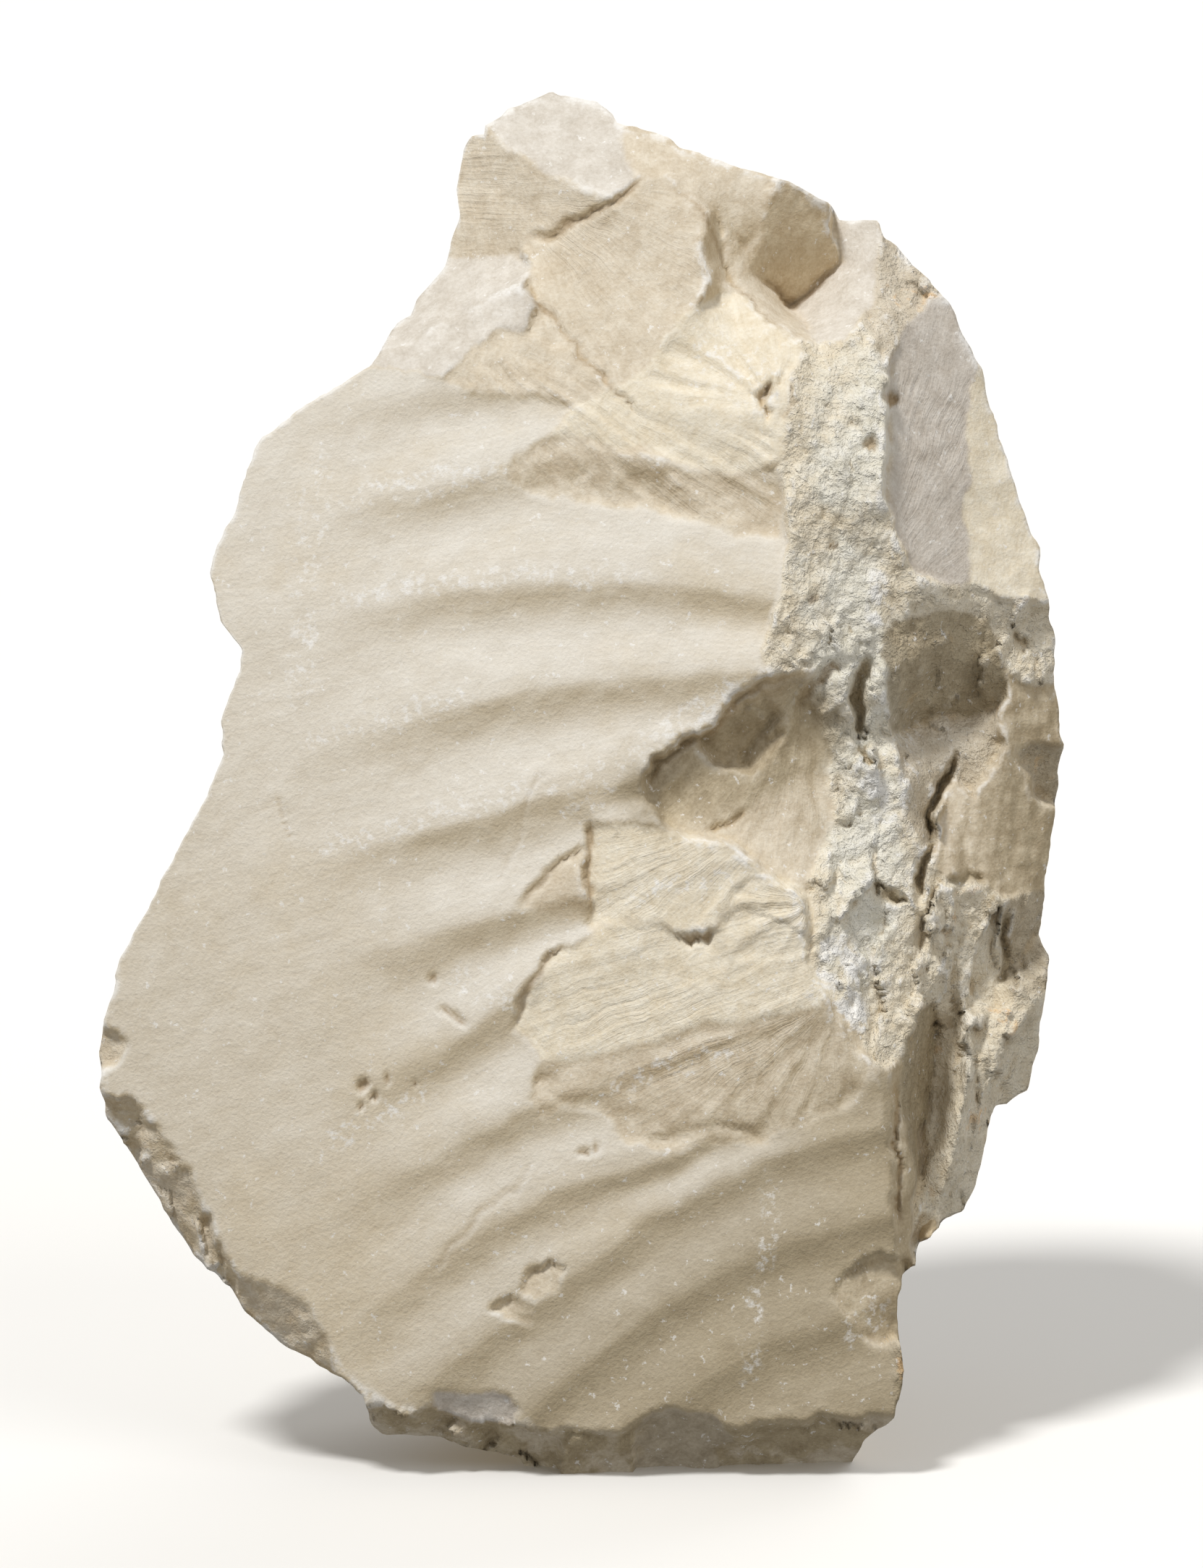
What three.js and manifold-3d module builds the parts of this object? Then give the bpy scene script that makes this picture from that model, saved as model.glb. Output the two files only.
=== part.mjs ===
// Chalk rock: one broken lump of chalk standing on its base, with a scraped, fluted face in front.
// Units are millimetres, +Z is up, the scraped face looks toward -Y.
//
// The front and the back are each a depth laid over the rock's outline. A point of the outline plane is
// (x, z), x to the right and z up along the face, and its depth h is measured out of the plane, toward
// the front. The finished solid is then leaned back and trimmed flat where it stands.
import * as THREE from 'three';
import { mergeVertices } from 'three/addons/utils/BufferGeometryUtils.js';
import Module from 'manifold-3d';

// Stance
const LEAN_DEG = 10;
const FLOOR_HEIGHT = 2.25;

// Scraped face: depth at its crown, where the crown is, and its bow up and across
const FACE_DEPTH = 30;
const FACE_CROWN = [5, 88];
const FACE_BOW_ACROSS = 1400;
const FACE_BOW_UP = 760;

// Flutes: a fan of shallow channels; heights of the arrises between them at stations across the face
const FLUTE_DEPTH = 1.1;
const ARRIS_STATIONS = [-60, -35, -20, -5, 10, 25, 45];
const ARRISES = [
  [140, 144.5, 148.5, 152, 153, 153, 153],
  [126, 130.5, 134.5, 138, 139, 139, 139],
  [112, 117, 119.7, 121.2, 121.2, 119, 115],
  [93, 99.5, 104, 107.2, 108.6, 109.5, 110],
  [79, 84.5, 88, 92.3, 95, 97, 99],
  [62, 69, 74, 78, 82, 85, 88],
  [43, 51.5, 57.7, 68, 72, 75, 78],
  [26, 35.5, 44, 51.5, 57, 62, 66],
  [4, 19, 30, 38.8, 43, 50, 56],
  [-14, 4, 14, 25.5, 36, 43.5, 49],
  [-30, -12, -2, 11, 23.5, 31.5, 36.5],
  [-44, -26, -16, -3, 9, 18.3, 25.5],
  [-58, -40, -31, -19, -6, 4, 11],
];

// Edge of the break in the middle of the face, where the flutes fade
const MIDDLE_BREAK = [[0, 90.5], [8.5, 94.5], [15, 100], [26, 108.5], [36, 110], [42, 58], [42, 47],
  [33, 45.5], [22, 44.5], [10, 45.5], [2, 49], [-7, 53], [-9.5, 61], [-5, 70], [0, 75]];

// Right flank: where the face breaks away, and how steeply
const FLANK_EDGE = 40;
const FLANK_SLOPE = 1.1;

// Back: depth behind the outline plane, taper to the thin left side, wall steepness at the rim
const BACK_DEPTH = 29;
const BACK_TAPER = 0.32;
const WALL_STEEPNESS = 2.6;

// Mesh: rings of the back from the middle of the outline to its rim; the front has twice as many
const RINGS = 17;
const MIDDLE = [0, 95];

// How softly a broken edge is drawn at this mesh size, and how far the back's lumps stand out
const EDGE_WIDTH = 2;
const LUMP_HEIGHT = 2.4;

// Outline seen from the front, counter-clockwise from the peak, continued under the floor where it stands
const OUTLINE = [
  [-4.5, 189], [-8, 187.8], [-10.5, 186.8], [-13.8, 184.3], [-14, 183.1], [-15.6, 183], [-16.9, 181],
  [-17.8, 175.5], [-17.3, 172], [-18.5, 168], [-19.2, 165], [-23.2, 160.5], [-24, 158], [-26.5, 156],
  [-29.3, 150.6], [-33, 148.5], [-40, 144], [-44, 141], [-46, 136.5], [-47.3, 131], [-50.2, 126],
  [-51, 122], [-49.5, 116], [-46.6, 112], [-47, 109], [-49.4, 102.6], [-48.9, 98], [-51.5, 92],
  [-57.5, 80.5], [-63, 70.5], [-65.2, 62], [-66, 57.5], [-65.5, 54.5], [-66, 52.5], [-65, 48.5],
  [-60.3, 40.5], [-55, 32], [-51.5, 27.5], [-48.5, 25], [-46.5, 21.5], [-41, 17], [-33, 13],
  [-30.5, 10.5], [-29.5, 7], [-27.3, 4.8], [-20, 4.4], [-14, 2.6], [-9, 1.4], [-6, -4], [8, -6],
  [31, -6], [36, -1], [38, 4], [42, 7.3], [43.3, 14], [42.3, 22], [43.3, 26.7], [45, 28.3],
  [45.8, 30.8], [49.5, 34.2], [52, 35], [54, 40], [56.3, 49.4], [58.2, 49.6], [61, 51.5],
  [62.6, 57], [64.2, 70], [63.2, 73], [63.5, 80], [65.6, 94], [66, 98], [64.8, 110], [64, 119.5],
  [62.6, 123.5], [62.4, 126.5], [60, 132.5], [56.7, 143], [54.5, 151], [51.5, 156.5], [50.2, 160],
  [46.5, 164], [43, 168], [41.2, 169.2], [40.2, 171.3], [35, 171.8], [34.1, 173.4], [29, 176],
  [20, 179], [13, 181], [10, 183.3], [4.3, 184.6], [3.7, 186.2], [1.5, 188],
];

// Broken facets round the scraped face: corners as (x, z, h), meeting along shared corners
const FACETS = {
  cap: [[-14.3, 184.8, 8.5], [-10, 188.5, 6], [-4, 191, 4.5], [4, 190, 5], [4.8, 185, 9.5],
    [7, 178.6, 14.5], [7.7, 176.3, 16.5], [4.5, 173.5, 18.2], [0, 174.8, 17.4], [-5, 177, 15],
    [-10.5, 180.5, 12]],
  leftFacet: [[-20, 186, 5], [-14.3, 184.8, 8.5], [-10.5, 180.5, 12], [-5, 177, 15], [0, 174.8, 17.4],
    [4.5, 173.5, 18.2], [3, 172.3, 18.2], [-4, 169.4, 16.2], [-8, 167.5, 14.6], [-9, 166, 13.8],
    [-21, 166, 8]],
  upperBand: [[-21, 166, 8], [-9, 166, 13.8], [-8, 164.3, 16.5], [-17, 161.2, 14.5], [-27, 158, 12]],
  lowerBand: [[-27, 158, 12], [-17, 161.2, 14.5], [-8, 164.3, 16.5], [-8, 162.5, 20.4], [-16, 158, 19.8],
    [-22, 154.5, 21.4], [-29, 150.3, 24], [-34, 152, 17]],
  ledge: [[-29, 150.3, 24], [-22, 154.5, 21.4], [-16, 158, 19.8], [-8, 162.5, 20.4], [-6.3, 160, 21.2],
    [-7, 155, 22.8], [-11.5, 155.3, 22.6], [-13.5, 153.6, 23.6], [-17, 151.6, 24.1], [-18.5, 149.6, 24.6]],
  underLedge: [[-18.7, 149.2, 24.5], [-17, 151.6, 23.8], [-13.5, 153.6, 23], [-11.5, 155.3, 22],
    [-7, 155, 22.3], [0, 152.5, 22.8], [4, 147, 24.7], [0, 145, 25.2], [-7, 147, 25], [-14, 146.8, 25]],
  rightSlope: [[7.7, 176.3, 16.5], [7, 178.6, 14.5], [4.8, 185, 9.5], [4.6, 187, 8], [11, 187, 6.5],
    [28, 179.5, 11], [25.4, 174.5, 12.5], [24, 168.3, 11.5], [23, 164.7, 11], [17.3, 170.7, 14.5],
    [13, 174.2, 16.5], [11, 176.6, 15.5]],
  lens: [[17.3, 170.7, 14.5], [23, 164.7, 11], [28.5, 160.3, 3.5], [32, 153.3, 19], [29, 153.5, 21.5],
    [24, 157.5, 18.5], [20.5, 160.5, 16], [19.2, 163, 14.2], [18.2, 166.8, 14]],
  notchRoof: [[25.4, 174.5, 12.5], [28, 179.5, 12.5], [34.6, 175, 9.5], [34.8, 168.2, 6.5],
    [36, 165.6, 4.5], [28.5, 160.3, 3], [23, 164.7, 11], [24, 168.3, 11.5]],
  notchFloor: [[28.5, 160.3, 3], [36, 165.6, 4.5], [34.8, 168.2, 4], [34.8, 174, 2], [41, 174, 5],
    [39.8, 163, 10], [38.7, 158, 14], [36, 154, 20], [32, 153.3, 19]],
  flake: [[-8, 167.5, 14.4], [-4, 169.4, 15.8], [3, 172.3, 17.8], [7.7, 176.3, 16.5], [11, 176.6, 15.5],
    [13, 174.2, 16.5], [16.6, 170.3, 17.8], [15.6, 166, 19.4], [16.8, 162, 20.3], [15.2, 158.3, 21.3],
    [13.3, 157, 22.3], [9, 151, 23.8], [7.5, 149, 24.2], [4, 147, 24.6], [0, 152.5, 22.4], [-7, 155, 21.6],
    [-6.3, 160, 19.6], [-8, 162.5, 18.4], [-8, 164.3, 16.5]],
  slotWall: [[16.6, 170.3, 17.8], [17.3, 170.7, 14.5], [18.2, 166.8, 14], [19.2, 163, 14.2],
    [20.5, 160.5, 16], [17.8, 160, 17], [15.2, 158.3, 21.3], [16.8, 162, 20.3], [15.6, 166, 19.4]],
  brightFan: [[13.3, 157, 22.3], [15.2, 158.3, 21.3], [17.8, 160, 17], [20.5, 160.5, 16], [24, 157.5, 18.5],
    [29, 153.5, 21.5], [28.5, 148, 25.5], [24.5, 144, 26.2], [18, 144, 25.9], [14.5, 143.5, 25.7],
    [7.5, 149, 24.2], [9, 151, 23.8]],
  hackleScar: [[-3, 144, 25.8], [0, 145, 25.3], [4, 147, 24.8], [7.5, 149, 24.2], [14.5, 143.5, 25.7],
    [18, 144, 25.9], [24.5, 144, 26.2], [28.5, 148, 25.5], [27, 138, 27], [20, 136.3, 26], [10, 139, 25.9],
    [0, 140.3, 25.9], [-4.5, 141, 26]],
  seam: [[32, 153.3, 19], [36, 154, 20], [38.7, 158, 16], [40.5, 150.5, 21], [40.3, 140, 23.6],
    [39.8, 133, 24.6], [42.5, 127.5, 22.6], [45, 121.5, 19.5], [43.5, 117.5, 20], [42, 115.5, 20.5],
    [39.8, 111, 23], [37, 113, 24], [31, 109.5, 26.5], [26, 108.7, 28], [24, 112.5, 28.6],
    [27, 121.5, 28.6], [28, 127, 28.4], [27, 138, 27.2], [28.5, 148, 25.5], [29, 153.5, 21.5]],
  shoulder: [[41, 174, 5], [45, 169, 3], [51, 161, 6], [47, 160.5, 9], [43.5, 155.5, 13.5],
    [40.5, 150.5, 19], [38.7, 158, 14], [39.8, 163, 10]],
  greyFacet: [[51, 161, 6], [47, 160.5, 9], [43.5, 155.5, 13.5], [41.2, 150.5, 16], [41.2, 140, 18.6],
    [40.6, 133, 20.6], [43, 127.5, 19.8], [45, 121.5, 18.8], [53, 120.5, 13.5], [52.3, 130, 11.5],
    [53, 137, 10], [54, 153, 6]],
  outerRight: [[51, 161, 6], [54, 153, 6], [53, 137, 10], [52.3, 130, 11.5], [53, 120.5, 13.5],
    [57, 119.5, 11.5], [67, 118.5, 5], [65, 127, 4], [62, 134, 4.5], [58, 147, 3.5], [55, 156, 3]],
  lip: [[45, 121.5, 19.5], [53, 120.5, 13.5], [57, 119.5, 11.5], [67, 118.5, 5], [66, 115, 3],
    [56, 116, 10], [50, 117.5, 14.5], [45, 116.5, 18], [42, 115.5, 20.5], [43.5, 117.5, 20]],
  hollowRoof: [[42, 115.5, 20.5], [45, 116.5, 18], [50, 117.5, 14.5], [56, 116, 10], [58, 110, 7.5],
    [57.5, 104, 6], [53, 103.5, 4.5], [48.5, 102.5, 5.5], [44, 101.5, 8], [41.5, 100.5, 16],
    [40.3, 106, 21], [39.8, 111, 23]],
  hollowFloor: [[41.5, 100.5, 16], [44, 101.5, 8], [48.5, 102.5, 5.5], [53, 103.5, 4.5], [57.5, 104, 6],
    [57, 97, 6], [53, 92, 7.8], [50.3, 94.8, 8], [46.5, 87, 14.5], [45, 85, 17.5], [43.5, 91, 18.5],
    [42, 97, 19]],
  plate: [[57.5, 104, 7.5], [57, 97, 8], [53, 92, 9.6], [50.3, 94.8, 9.8], [49.5, 90, 11.6],
    [46.5, 83.5, 16], [50, 80, 14], [54, 79.5, 11.5], [58, 78, 8], [62.5, 79, 2], [65, 80, -1], [67, 92, 0],
    [68, 100, 0], [66.5, 108, 1], [60, 108, 6], [58, 110, 7.5]],
  upperRim: [[58, 110, 7.5], [56, 116, 10], [66, 115, 3], [66.5, 108, 1], [60, 108, 6]],
  roughLow: [[46.5, 83.5, 16], [50, 80, 14], [54, 79.5, 11.5], [58, 78, 8], [57.5, 69, 4.5], [57, 66.5, 6],
    [57, 60, 7], [55, 62, 9], [52, 61, 13], [48.3, 60.5, 8], [47, 63.5, 13], [45, 66, 18],
    [45.2, 75, 18.5]],
  steepRight: [[58, 78, 8], [62.5, 79, 2], [65, 80, -1], [64, 73, -3], [62, 72.5, -1.5], [60.5, 69, 1],
    [57.5, 69, 4.5]],
  blockTop: [[57, 66.5, 6], [57.5, 69, 4.5], [60.5, 69, 1], [62, 72.5, -1.5], [64, 73, -3], [66, 70, -2.5],
    [65, 66, 1], [62, 64.5, 6], [58.5, 66, 8]],
  blockFace: [[57, 66.5, 6], [58.5, 66, 8], [62, 64.5, 6], [58, 59, 8], [57, 60, 7]],
  lowKnob: [[58, 59, 8], [62, 64.5, 6], [65, 66, 1], [66, 60, -2], [63, 49, -1], [57.5, 49, 2], [57, 54, 5],
    [57, 60, 7]],
  cleft: [[44.5, 62, 21], [42.5, 57, 22.5], [42, 50, 23], [43.8, 46, 22], [44.6, 38, 20], [44, 30, 18.5],
    [44.8, 29.5, 15], [45.6, 37, 11.5], [46, 42, 9], [47.3, 50, 6.5], [48.3, 60.5, 6.5], [47, 63.5, 13]],
  blade: [[48.3, 60.5, 7], [47.3, 50, 7], [46, 42, 9.5], [45.6, 37, 12], [44.8, 29.5, 15], [46, 31, 12],
    [48.5, 35, 10.5], [49.5, 40, 13], [51, 46, 14], [52.5, 54, 14], [52, 61, 13]],
  bladeOuter: [[49.5, 40, 13], [48.5, 35, 10.5], [50, 31, 5], [55.5, 34, 3], [56.5, 45, 3], [51, 46, 14]],
  ribRight: [[52, 61, 13], [52.5, 54, 14], [51, 46, 14], [56.5, 45, 3], [57.5, 49, 2], [57, 54, 5],
    [57, 60, 7], [55, 62, 9]],
  lowEdge: [[43, 26.5, 21], [41.5, 40, 24], [41.5, 50, 24.5], [42, 57, 23.5], [42.5, 57, 22.5],
    [42, 50, 23], [43.8, 46, 22], [44.6, 38, 20], [44, 30, 18.5], [44.3, 26, 18]],
  seamLow: [[31, 109.5, 26.5], [37, 113, 24], [39.8, 111, 23], [40.3, 106, 21.5], [41.5, 100.5, 17],
    [42, 97, 19], [43.5, 91, 18.5], [45, 85, 17.5], [46.5, 83.5, 16], [45.2, 75, 18.5], [45, 66, 18],
    [44.5, 62, 21], [42.5, 57, 22.5], [40, 56, 25.8], [36, 58, 27.2], [33, 64, 27.8], [30, 70, 27.9],
    [29, 79, 26.6], [33, 88, 21.5], [33, 98, 19.5], [30, 104, 22]],
  terrace: [[26, 108.5, 26.3], [21, 105.3, 26.2], [15, 100.1, 26.2], [10, 96.5, 26.2], [8.5, 94.5, 26.4],
    [8.3, 91, 27.2], [11, 88, 27.2], [14, 86.5, 26.8], [19, 86, 26.4], [24, 83.5, 26.4], [29, 79, 26.6],
    [33, 88, 21.5], [33, 98, 19.5], [30, 104, 22], [31, 109.5, 26.5]],
};

// Scars cut into the surface: edge loop, an anchor with its depth, slope there, and bow
const SCARS = {
  rimFacet: { loop: [[58.5, 100.5], [62.5, 99.5], [69, 97], [68, 90], [62.5, 91.2], [60.5, 95.5]],
    at: [61, 97], depth: 3.5, slope: [-0.9, 1], bow: [0, 0] },
  pocket: { loop: [[15.5, 100.2], [24.5, 106.3], [26.5, 100.5], [22, 95.5], [18.5, 96.5]],
    at: [21, 98], depth: 21.6, slope: [-0.1, 0.2], bow: [0.03, 0.06] },
  ovalChip: { loop: [[-21, 12], [-18, 13.3], [-14, 13], [-9, 9], [-10, 7], [-17, 6], [-20.5, 8.5]],
    at: [-15, 13], depth: 22, slope: [0.02, 0.6], bow: [0.02, 0.03] },
  heelChip: { loop: [[-32, 9.5], [-26, 9.3], [-20, 8.6], [-16.5, 6.4], [-9, 7.2], [-4, 5.5], [-4, -9],
    [-32, -7]],
    at: [-20, 7.5], depth: 19.4, slope: [0.25, 1.6], bow: [0, 0] },
  footChip: { loop: [[-10, 7.4], [-4, 5.6], [0, 7], [4, 5.5], [7.5, 7], [8, -9], [-10, -9]],
    at: [0, 6.4], depth: 20.6, slope: [-0.1, 0.7], bow: [0, 0] },
  greyChip: { loop: [[6.5, 5.5], [8, 7.3], [11, 9], [14, 9.4], [18.5, 8], [20.5, 5], [19, -9], [6, -9]],
    at: [13, 9], depth: 20.8, slope: [0.04, 1.25], bow: [0.03, 0.02] },
  darkChip: { loop: [[18, 7.4], [21, 6.6], [26, 7.2], [30, 6.6], [34, 7.4], [38, 7.8], [45, 6.5], [42, -9],
    [18, -9]],
    at: [28, 6.4], depth: 18.9, slope: [-0.05, 1.7], bow: [0, 0] },
  leftNick: { loop: [[-67, 61], [-63.5, 60], [-62, 58], [-63.5, 55.8], [-67, 55]],
    at: [-64, 57.5], depth: 24, slope: [0.5, 0], bow: [0, 0.12] },
};

// Shallow flake scars: corners as (x, z, drop below what is there)
const DENTS = {
  tongue: [[-12, 136.5, 0.2], [-5, 140.4, 0.7], [3, 140, 0.4], [10, 139.2, 0.2], [8, 136.5, 0.1],
    [2, 133.4, 0.4], [8, 130.8, 0.3], [3, 131.8, 0.7], [-6, 132.6, 0.8]],
  tongueLower: [[1, 133, 0.4], [9, 137.2, 0.6], [24, 135.7, 0.5], [27, 133, 0.7], [26, 128, 0.9],
    [20, 128.2, 0.9], [9, 130.8, 0.8]],
  upperFlake: [[0.3, 88.5, 0.5], [7, 88, 0.4], [12, 87, 0.3], [18, 85.2, 0.3], [25, 82.3, 0.2],
    [21, 79, 0.3], [19, 77, 0.3], [17.5, 74.5, 0.2], [15, 72.4, 0.1], [13.5, 74, 0.2], [9, 75.2, 0.2],
    [0.3, 75, 0.9], [0, 80, 1.6]],
  sideFlake: [[-9.2, 76.8, 0.3], [-6, 80.5, 0.6], [-2.5, 84.7, 0.6], [-0.3, 85.8, 0.5], [0, 81, 0.2],
    [0, 76, 0.1], [-4, 75.8, 0.1]],
  linedFlake: [[-9.5, 61, 0.4], [-8.2, 64.5, 0.7], [-6, 66.5, 0.6], [-5, 69.8, 0.7], [-2, 71.5, 0.5],
    [1, 74.8, 0.3], [9, 75, 0.4], [13.5, 73.8, 1.3], [15, 72.3, 1.7], [18, 74.5, 0.8], [20, 77, 0.3],
    [25, 76, 0.4], [29, 74, 0.2], [31, 69, 0.1], [33.5, 64.5, 0], [25, 62, 0.2], [16, 61, 0.2],
    [8, 58.5, 0.2], [-1, 56.5, 0.2], [-6, 57, 0.3]],
  smallFan: [[18, 75.3, 0.5], [20, 79.5, 0.5], [26, 82.3, 0.4], [30, 79.5, 0.1], [31, 74, 0.1],
    [26, 70, 0.2], [20, 70.5, 0.3]],
  lowerFan: [[-6, 56.5, 0.3], [0, 57.3, 0.3], [8, 58.5, 0.4], [16, 61, 0.5], [25, 62.3, 0.4],
    [33.5, 64, 0.3], [37, 60, 0.2], [39, 55.5, 0.2], [37, 52, 0.3], [33, 49, 0.4], [26, 46.8, 0.3],
    [22, 45.3, 0.3], [16, 47.5, 0.4], [10.5, 45.8, 0.4], [6, 46, 0.4], [2, 49.5, 0.4], [-3, 51, 0.4],
    [-7.5, 53, 0.3]],
  gouge: [[5, 45.8, 0.2], [12, 46.8, 0.8], [19, 47.4, 0.8], [25, 45.6, 0.3], [20, 44.6, 0.2],
    [12, 44.2, 0.1]],
  leftChip: [[-68, 57, 2], [-64.6, 51.6, 0.3], [-61, 50.5, 0.4], [-59, 46.5, 0.6], [-60.5, 41, 3],
    [-66, 44, 7], [-70, 50, 8]],
  longChip: [[-60.5, 48, 1], [-57.6, 46.8, 0.3], [-54, 41.5, 0.4], [-52, 36.5, 0.4], [-49.6, 30.5, 0.5],
    [-47, 27.6, 0.5], [-50, 22, 6], [-58, 30, 8], [-64, 42, 7]],
  cornerChip: [[-49, 28.5, 0.8], [-45.5, 26.6, 0.3], [-41.5, 25.4, 0.3], [-38, 22.8, 0.5],
    [-35.2, 18.5, 0.7], [-34.4, 15, 1], [-35, 10, 6], [-44, 15, 7], [-50, 22, 5]],
  edgeChip: [[33, 25, 0.4], [36, 28.5, 1.2], [40, 30.2, 1.6], [43.5, 29, 3], [44.5, 18, 3],
    [38, 18.5, 0.6]],
};

// Creases: a line, how deep it is cut, and its half width
const CREASES = [
  { line: [[37.5, 112], [37.3, 106], [37.2, 99]], depth: 3, reach: 2.4 },
  { line: [[50.2, 94.8], [47.2, 88], [45.2, 81]], depth: 3, reach: 2.2 },
  { line: [[57.5, 78], [57.6, 69], [57, 66]], depth: 1.5, reach: 2 },
];

// Flat breaks that bound the back: depth at (0, 95) and slope across and up; the nearest one wins
const BACK_BREAKS = {
  main: { depth: -BACK_DEPTH, slope: [-BACK_TAPER, 0.02] },
  upper: { depth: -54, slope: [0.05, 0.46] },
  right: { depth: -96, slope: [1.15, 0.12] },
  bottom: { depth: -76, slope: [-0.1, -0.5] },
  left: { depth: -56, slope: [-1.08, 0.19] },
  lowerLeft: { depth: -94, slope: [-1.07, -0.75] },
  upperLeft: { depth: -57, slope: [-0.82, 0.57] },
  top: { depth: -80, slope: [-0.14, 0.79] },
  upperRight: { depth: -110, slope: [0.69, 0.98] },
  lowerRight: { depth: -98, slope: [1.04, -0.6] },
};

// Hollows left in the back by spalled flakes: centre, radius across and up, and depth
const BACK_HOLLOWS = [
  { at: [-8, 122], reach: [24, 17], depth: 4.5 },
  { at: [22, 78], reach: [20, 30], depth: 5 },
  { at: [-30, 62], reach: [17, 20], depth: 3.5 },
  { at: [10, 150], reach: [15, 12], depth: 3 },
  { at: [34, 118], reach: [13, 20], depth: 4 },
];

const clamp = (v, lo, hi) => Math.min(hi, Math.max(lo, v));

function smooth(lo, hi, v) {
  const s = clamp((v - lo) / (hi - lo), 0, 1);
  return s * s * (3 - 2 * s);
}

function lattice(i, j, k) {
  const sum = Math.imul(i, 374761393) + Math.imul(j, 668265263) + Math.imul(k, 2147483647) + 974711;
  let n = sum >>> 0;
  n = Math.imul(n ^ (n >>> 13), 1274126177) >>> 0;
  return ((n ^ (n >>> 16)) & 0xffff) / 65535;
}

// Smoothly varying chance value, -1 to 1
function noise(x, y, z) {
  const base = [x, y, z].map(Math.floor);
  const ease = [x, y, z].map((v, a) => {
    const t = v - base[a];
    return t * t * t * (t * (t * 6 - 15) + 10);
  });
  let total = 0;
  for (let corner = 0; corner < 8; corner += 1) {
    const step = [corner & 1, (corner >> 1) & 1, (corner >> 2) & 1];
    let weight = 1;
    step.forEach((s, a) => {
      weight *= s ? ease[a] : 1 - ease[a];
    });
    total += weight * lattice(base[0] + step[0], base[1] + step[1], base[2] + step[2]);
  }
  return total * 2 - 1;
}

function fractal(x, y, z, octaves) {
  let total = 0;
  let amount = 1;
  let size = 1;
  for (let k = 0; k < octaves; k += 1) {
    total += amount * noise(x * size + 17.3 * k, y * size - 9.1 * k, z * size + 4.7 * k);
    amount *= 0.5;
    size *= 2.03;
  }
  return total;
}

// Distance to a chain of straight lines, and where along it that is, 0 to 1
function chainDistance(points, x, z, closed) {
  let best = Infinity;
  let along = 0;
  const count = closed ? points.length : points.length - 1;
  for (let i = 0; i < count; i += 1) {
    const a = points[i];
    const b = points[(i + 1) % points.length];
    const ex = b[0] - a[0];
    const ez = b[1] - a[1];
    const t = clamp(((x - a[0]) * ex + (z - a[1]) * ez) / (ex * ex + ez * ez), 0, 1);
    const d = Math.hypot(x - a[0] - t * ex, z - a[1] - t * ez);
    if (d < best) {
      best = d;
      along = (i + t) / count;
    }
  }
  return [best, along];
}

// Distance to a closed loop, positive inside
function insideDistance(loop, x, z) {
  let inside = false;
  loop.forEach((a, i) => {
    const b = loop[(i + 1) % loop.length];
    if ((a[1] > z) !== (b[1] > z) && x < a[0] + ((z - a[1]) * (b[0] - a[0])) / (b[1] - a[1])) {
      inside = !inside;
    }
  });
  const d = chainDistance(loop, x, z, true)[0];
  return inside ? d : -d;
}

// Depth inside a facet, blended from its corners
function facetDepth(loop, x, z) {
  const reach = loop.map((p) => Math.hypot(p[0] - x, p[1] - z) + 1e-6);
  const half = loop.map((p, i) => {
    const j = (i + 1) % loop.length;
    const q = loop[j];
    const cross = (p[0] - x) * (q[1] - z) - (p[1] - z) * (q[0] - x);
    const dot = (p[0] - x) * (q[0] - x) + (p[1] - z) * (q[1] - z);
    return cross / (reach[i] * reach[j] + dot + 1e-9);
  });
  let total = 0;
  let weight = 0;
  loop.forEach((p, i) => {
    const w = (half[(i + loop.length - 1) % loop.length] + half[i]) / reach[i];
    total += w * p[2];
    weight += w;
  });
  const depths = loop.map((p) => p[2]);
  return clamp(total / (weight || 1e-9), Math.min(...depths) - 2, Math.max(...depths) + 2);
}

// Height of an arris at x, read between its stations
function arris(heights, x) {
  const passed = ARRIS_STATIONS.filter((station) => station <= x).length;
  const i = clamp(passed - 1, 0, ARRIS_STATIONS.length - 2);
  const run = ARRIS_STATIONS[i + 1] - ARRIS_STATIONS[i];
  return heights[i] + clamp((x - ARRIS_STATIONS[i]) / run, 0, 1) * (heights[i + 1] - heights[i]);
}

function fluteRelief(x, z) {
  for (let i = 0; i < ARRISES.length - 1; i += 1) {
    const top = arris(ARRISES[i], x);
    const bottom = arris(ARRISES[i + 1], x);
    if (top >= z && bottom < z) {
      const s = (top - z) / (top - bottom);
      return FLUTE_DEPTH * (0.5 - 0.5 * Math.cos(2 * Math.PI * s ** 0.75));
    }
  }
  return 0;
}

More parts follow.
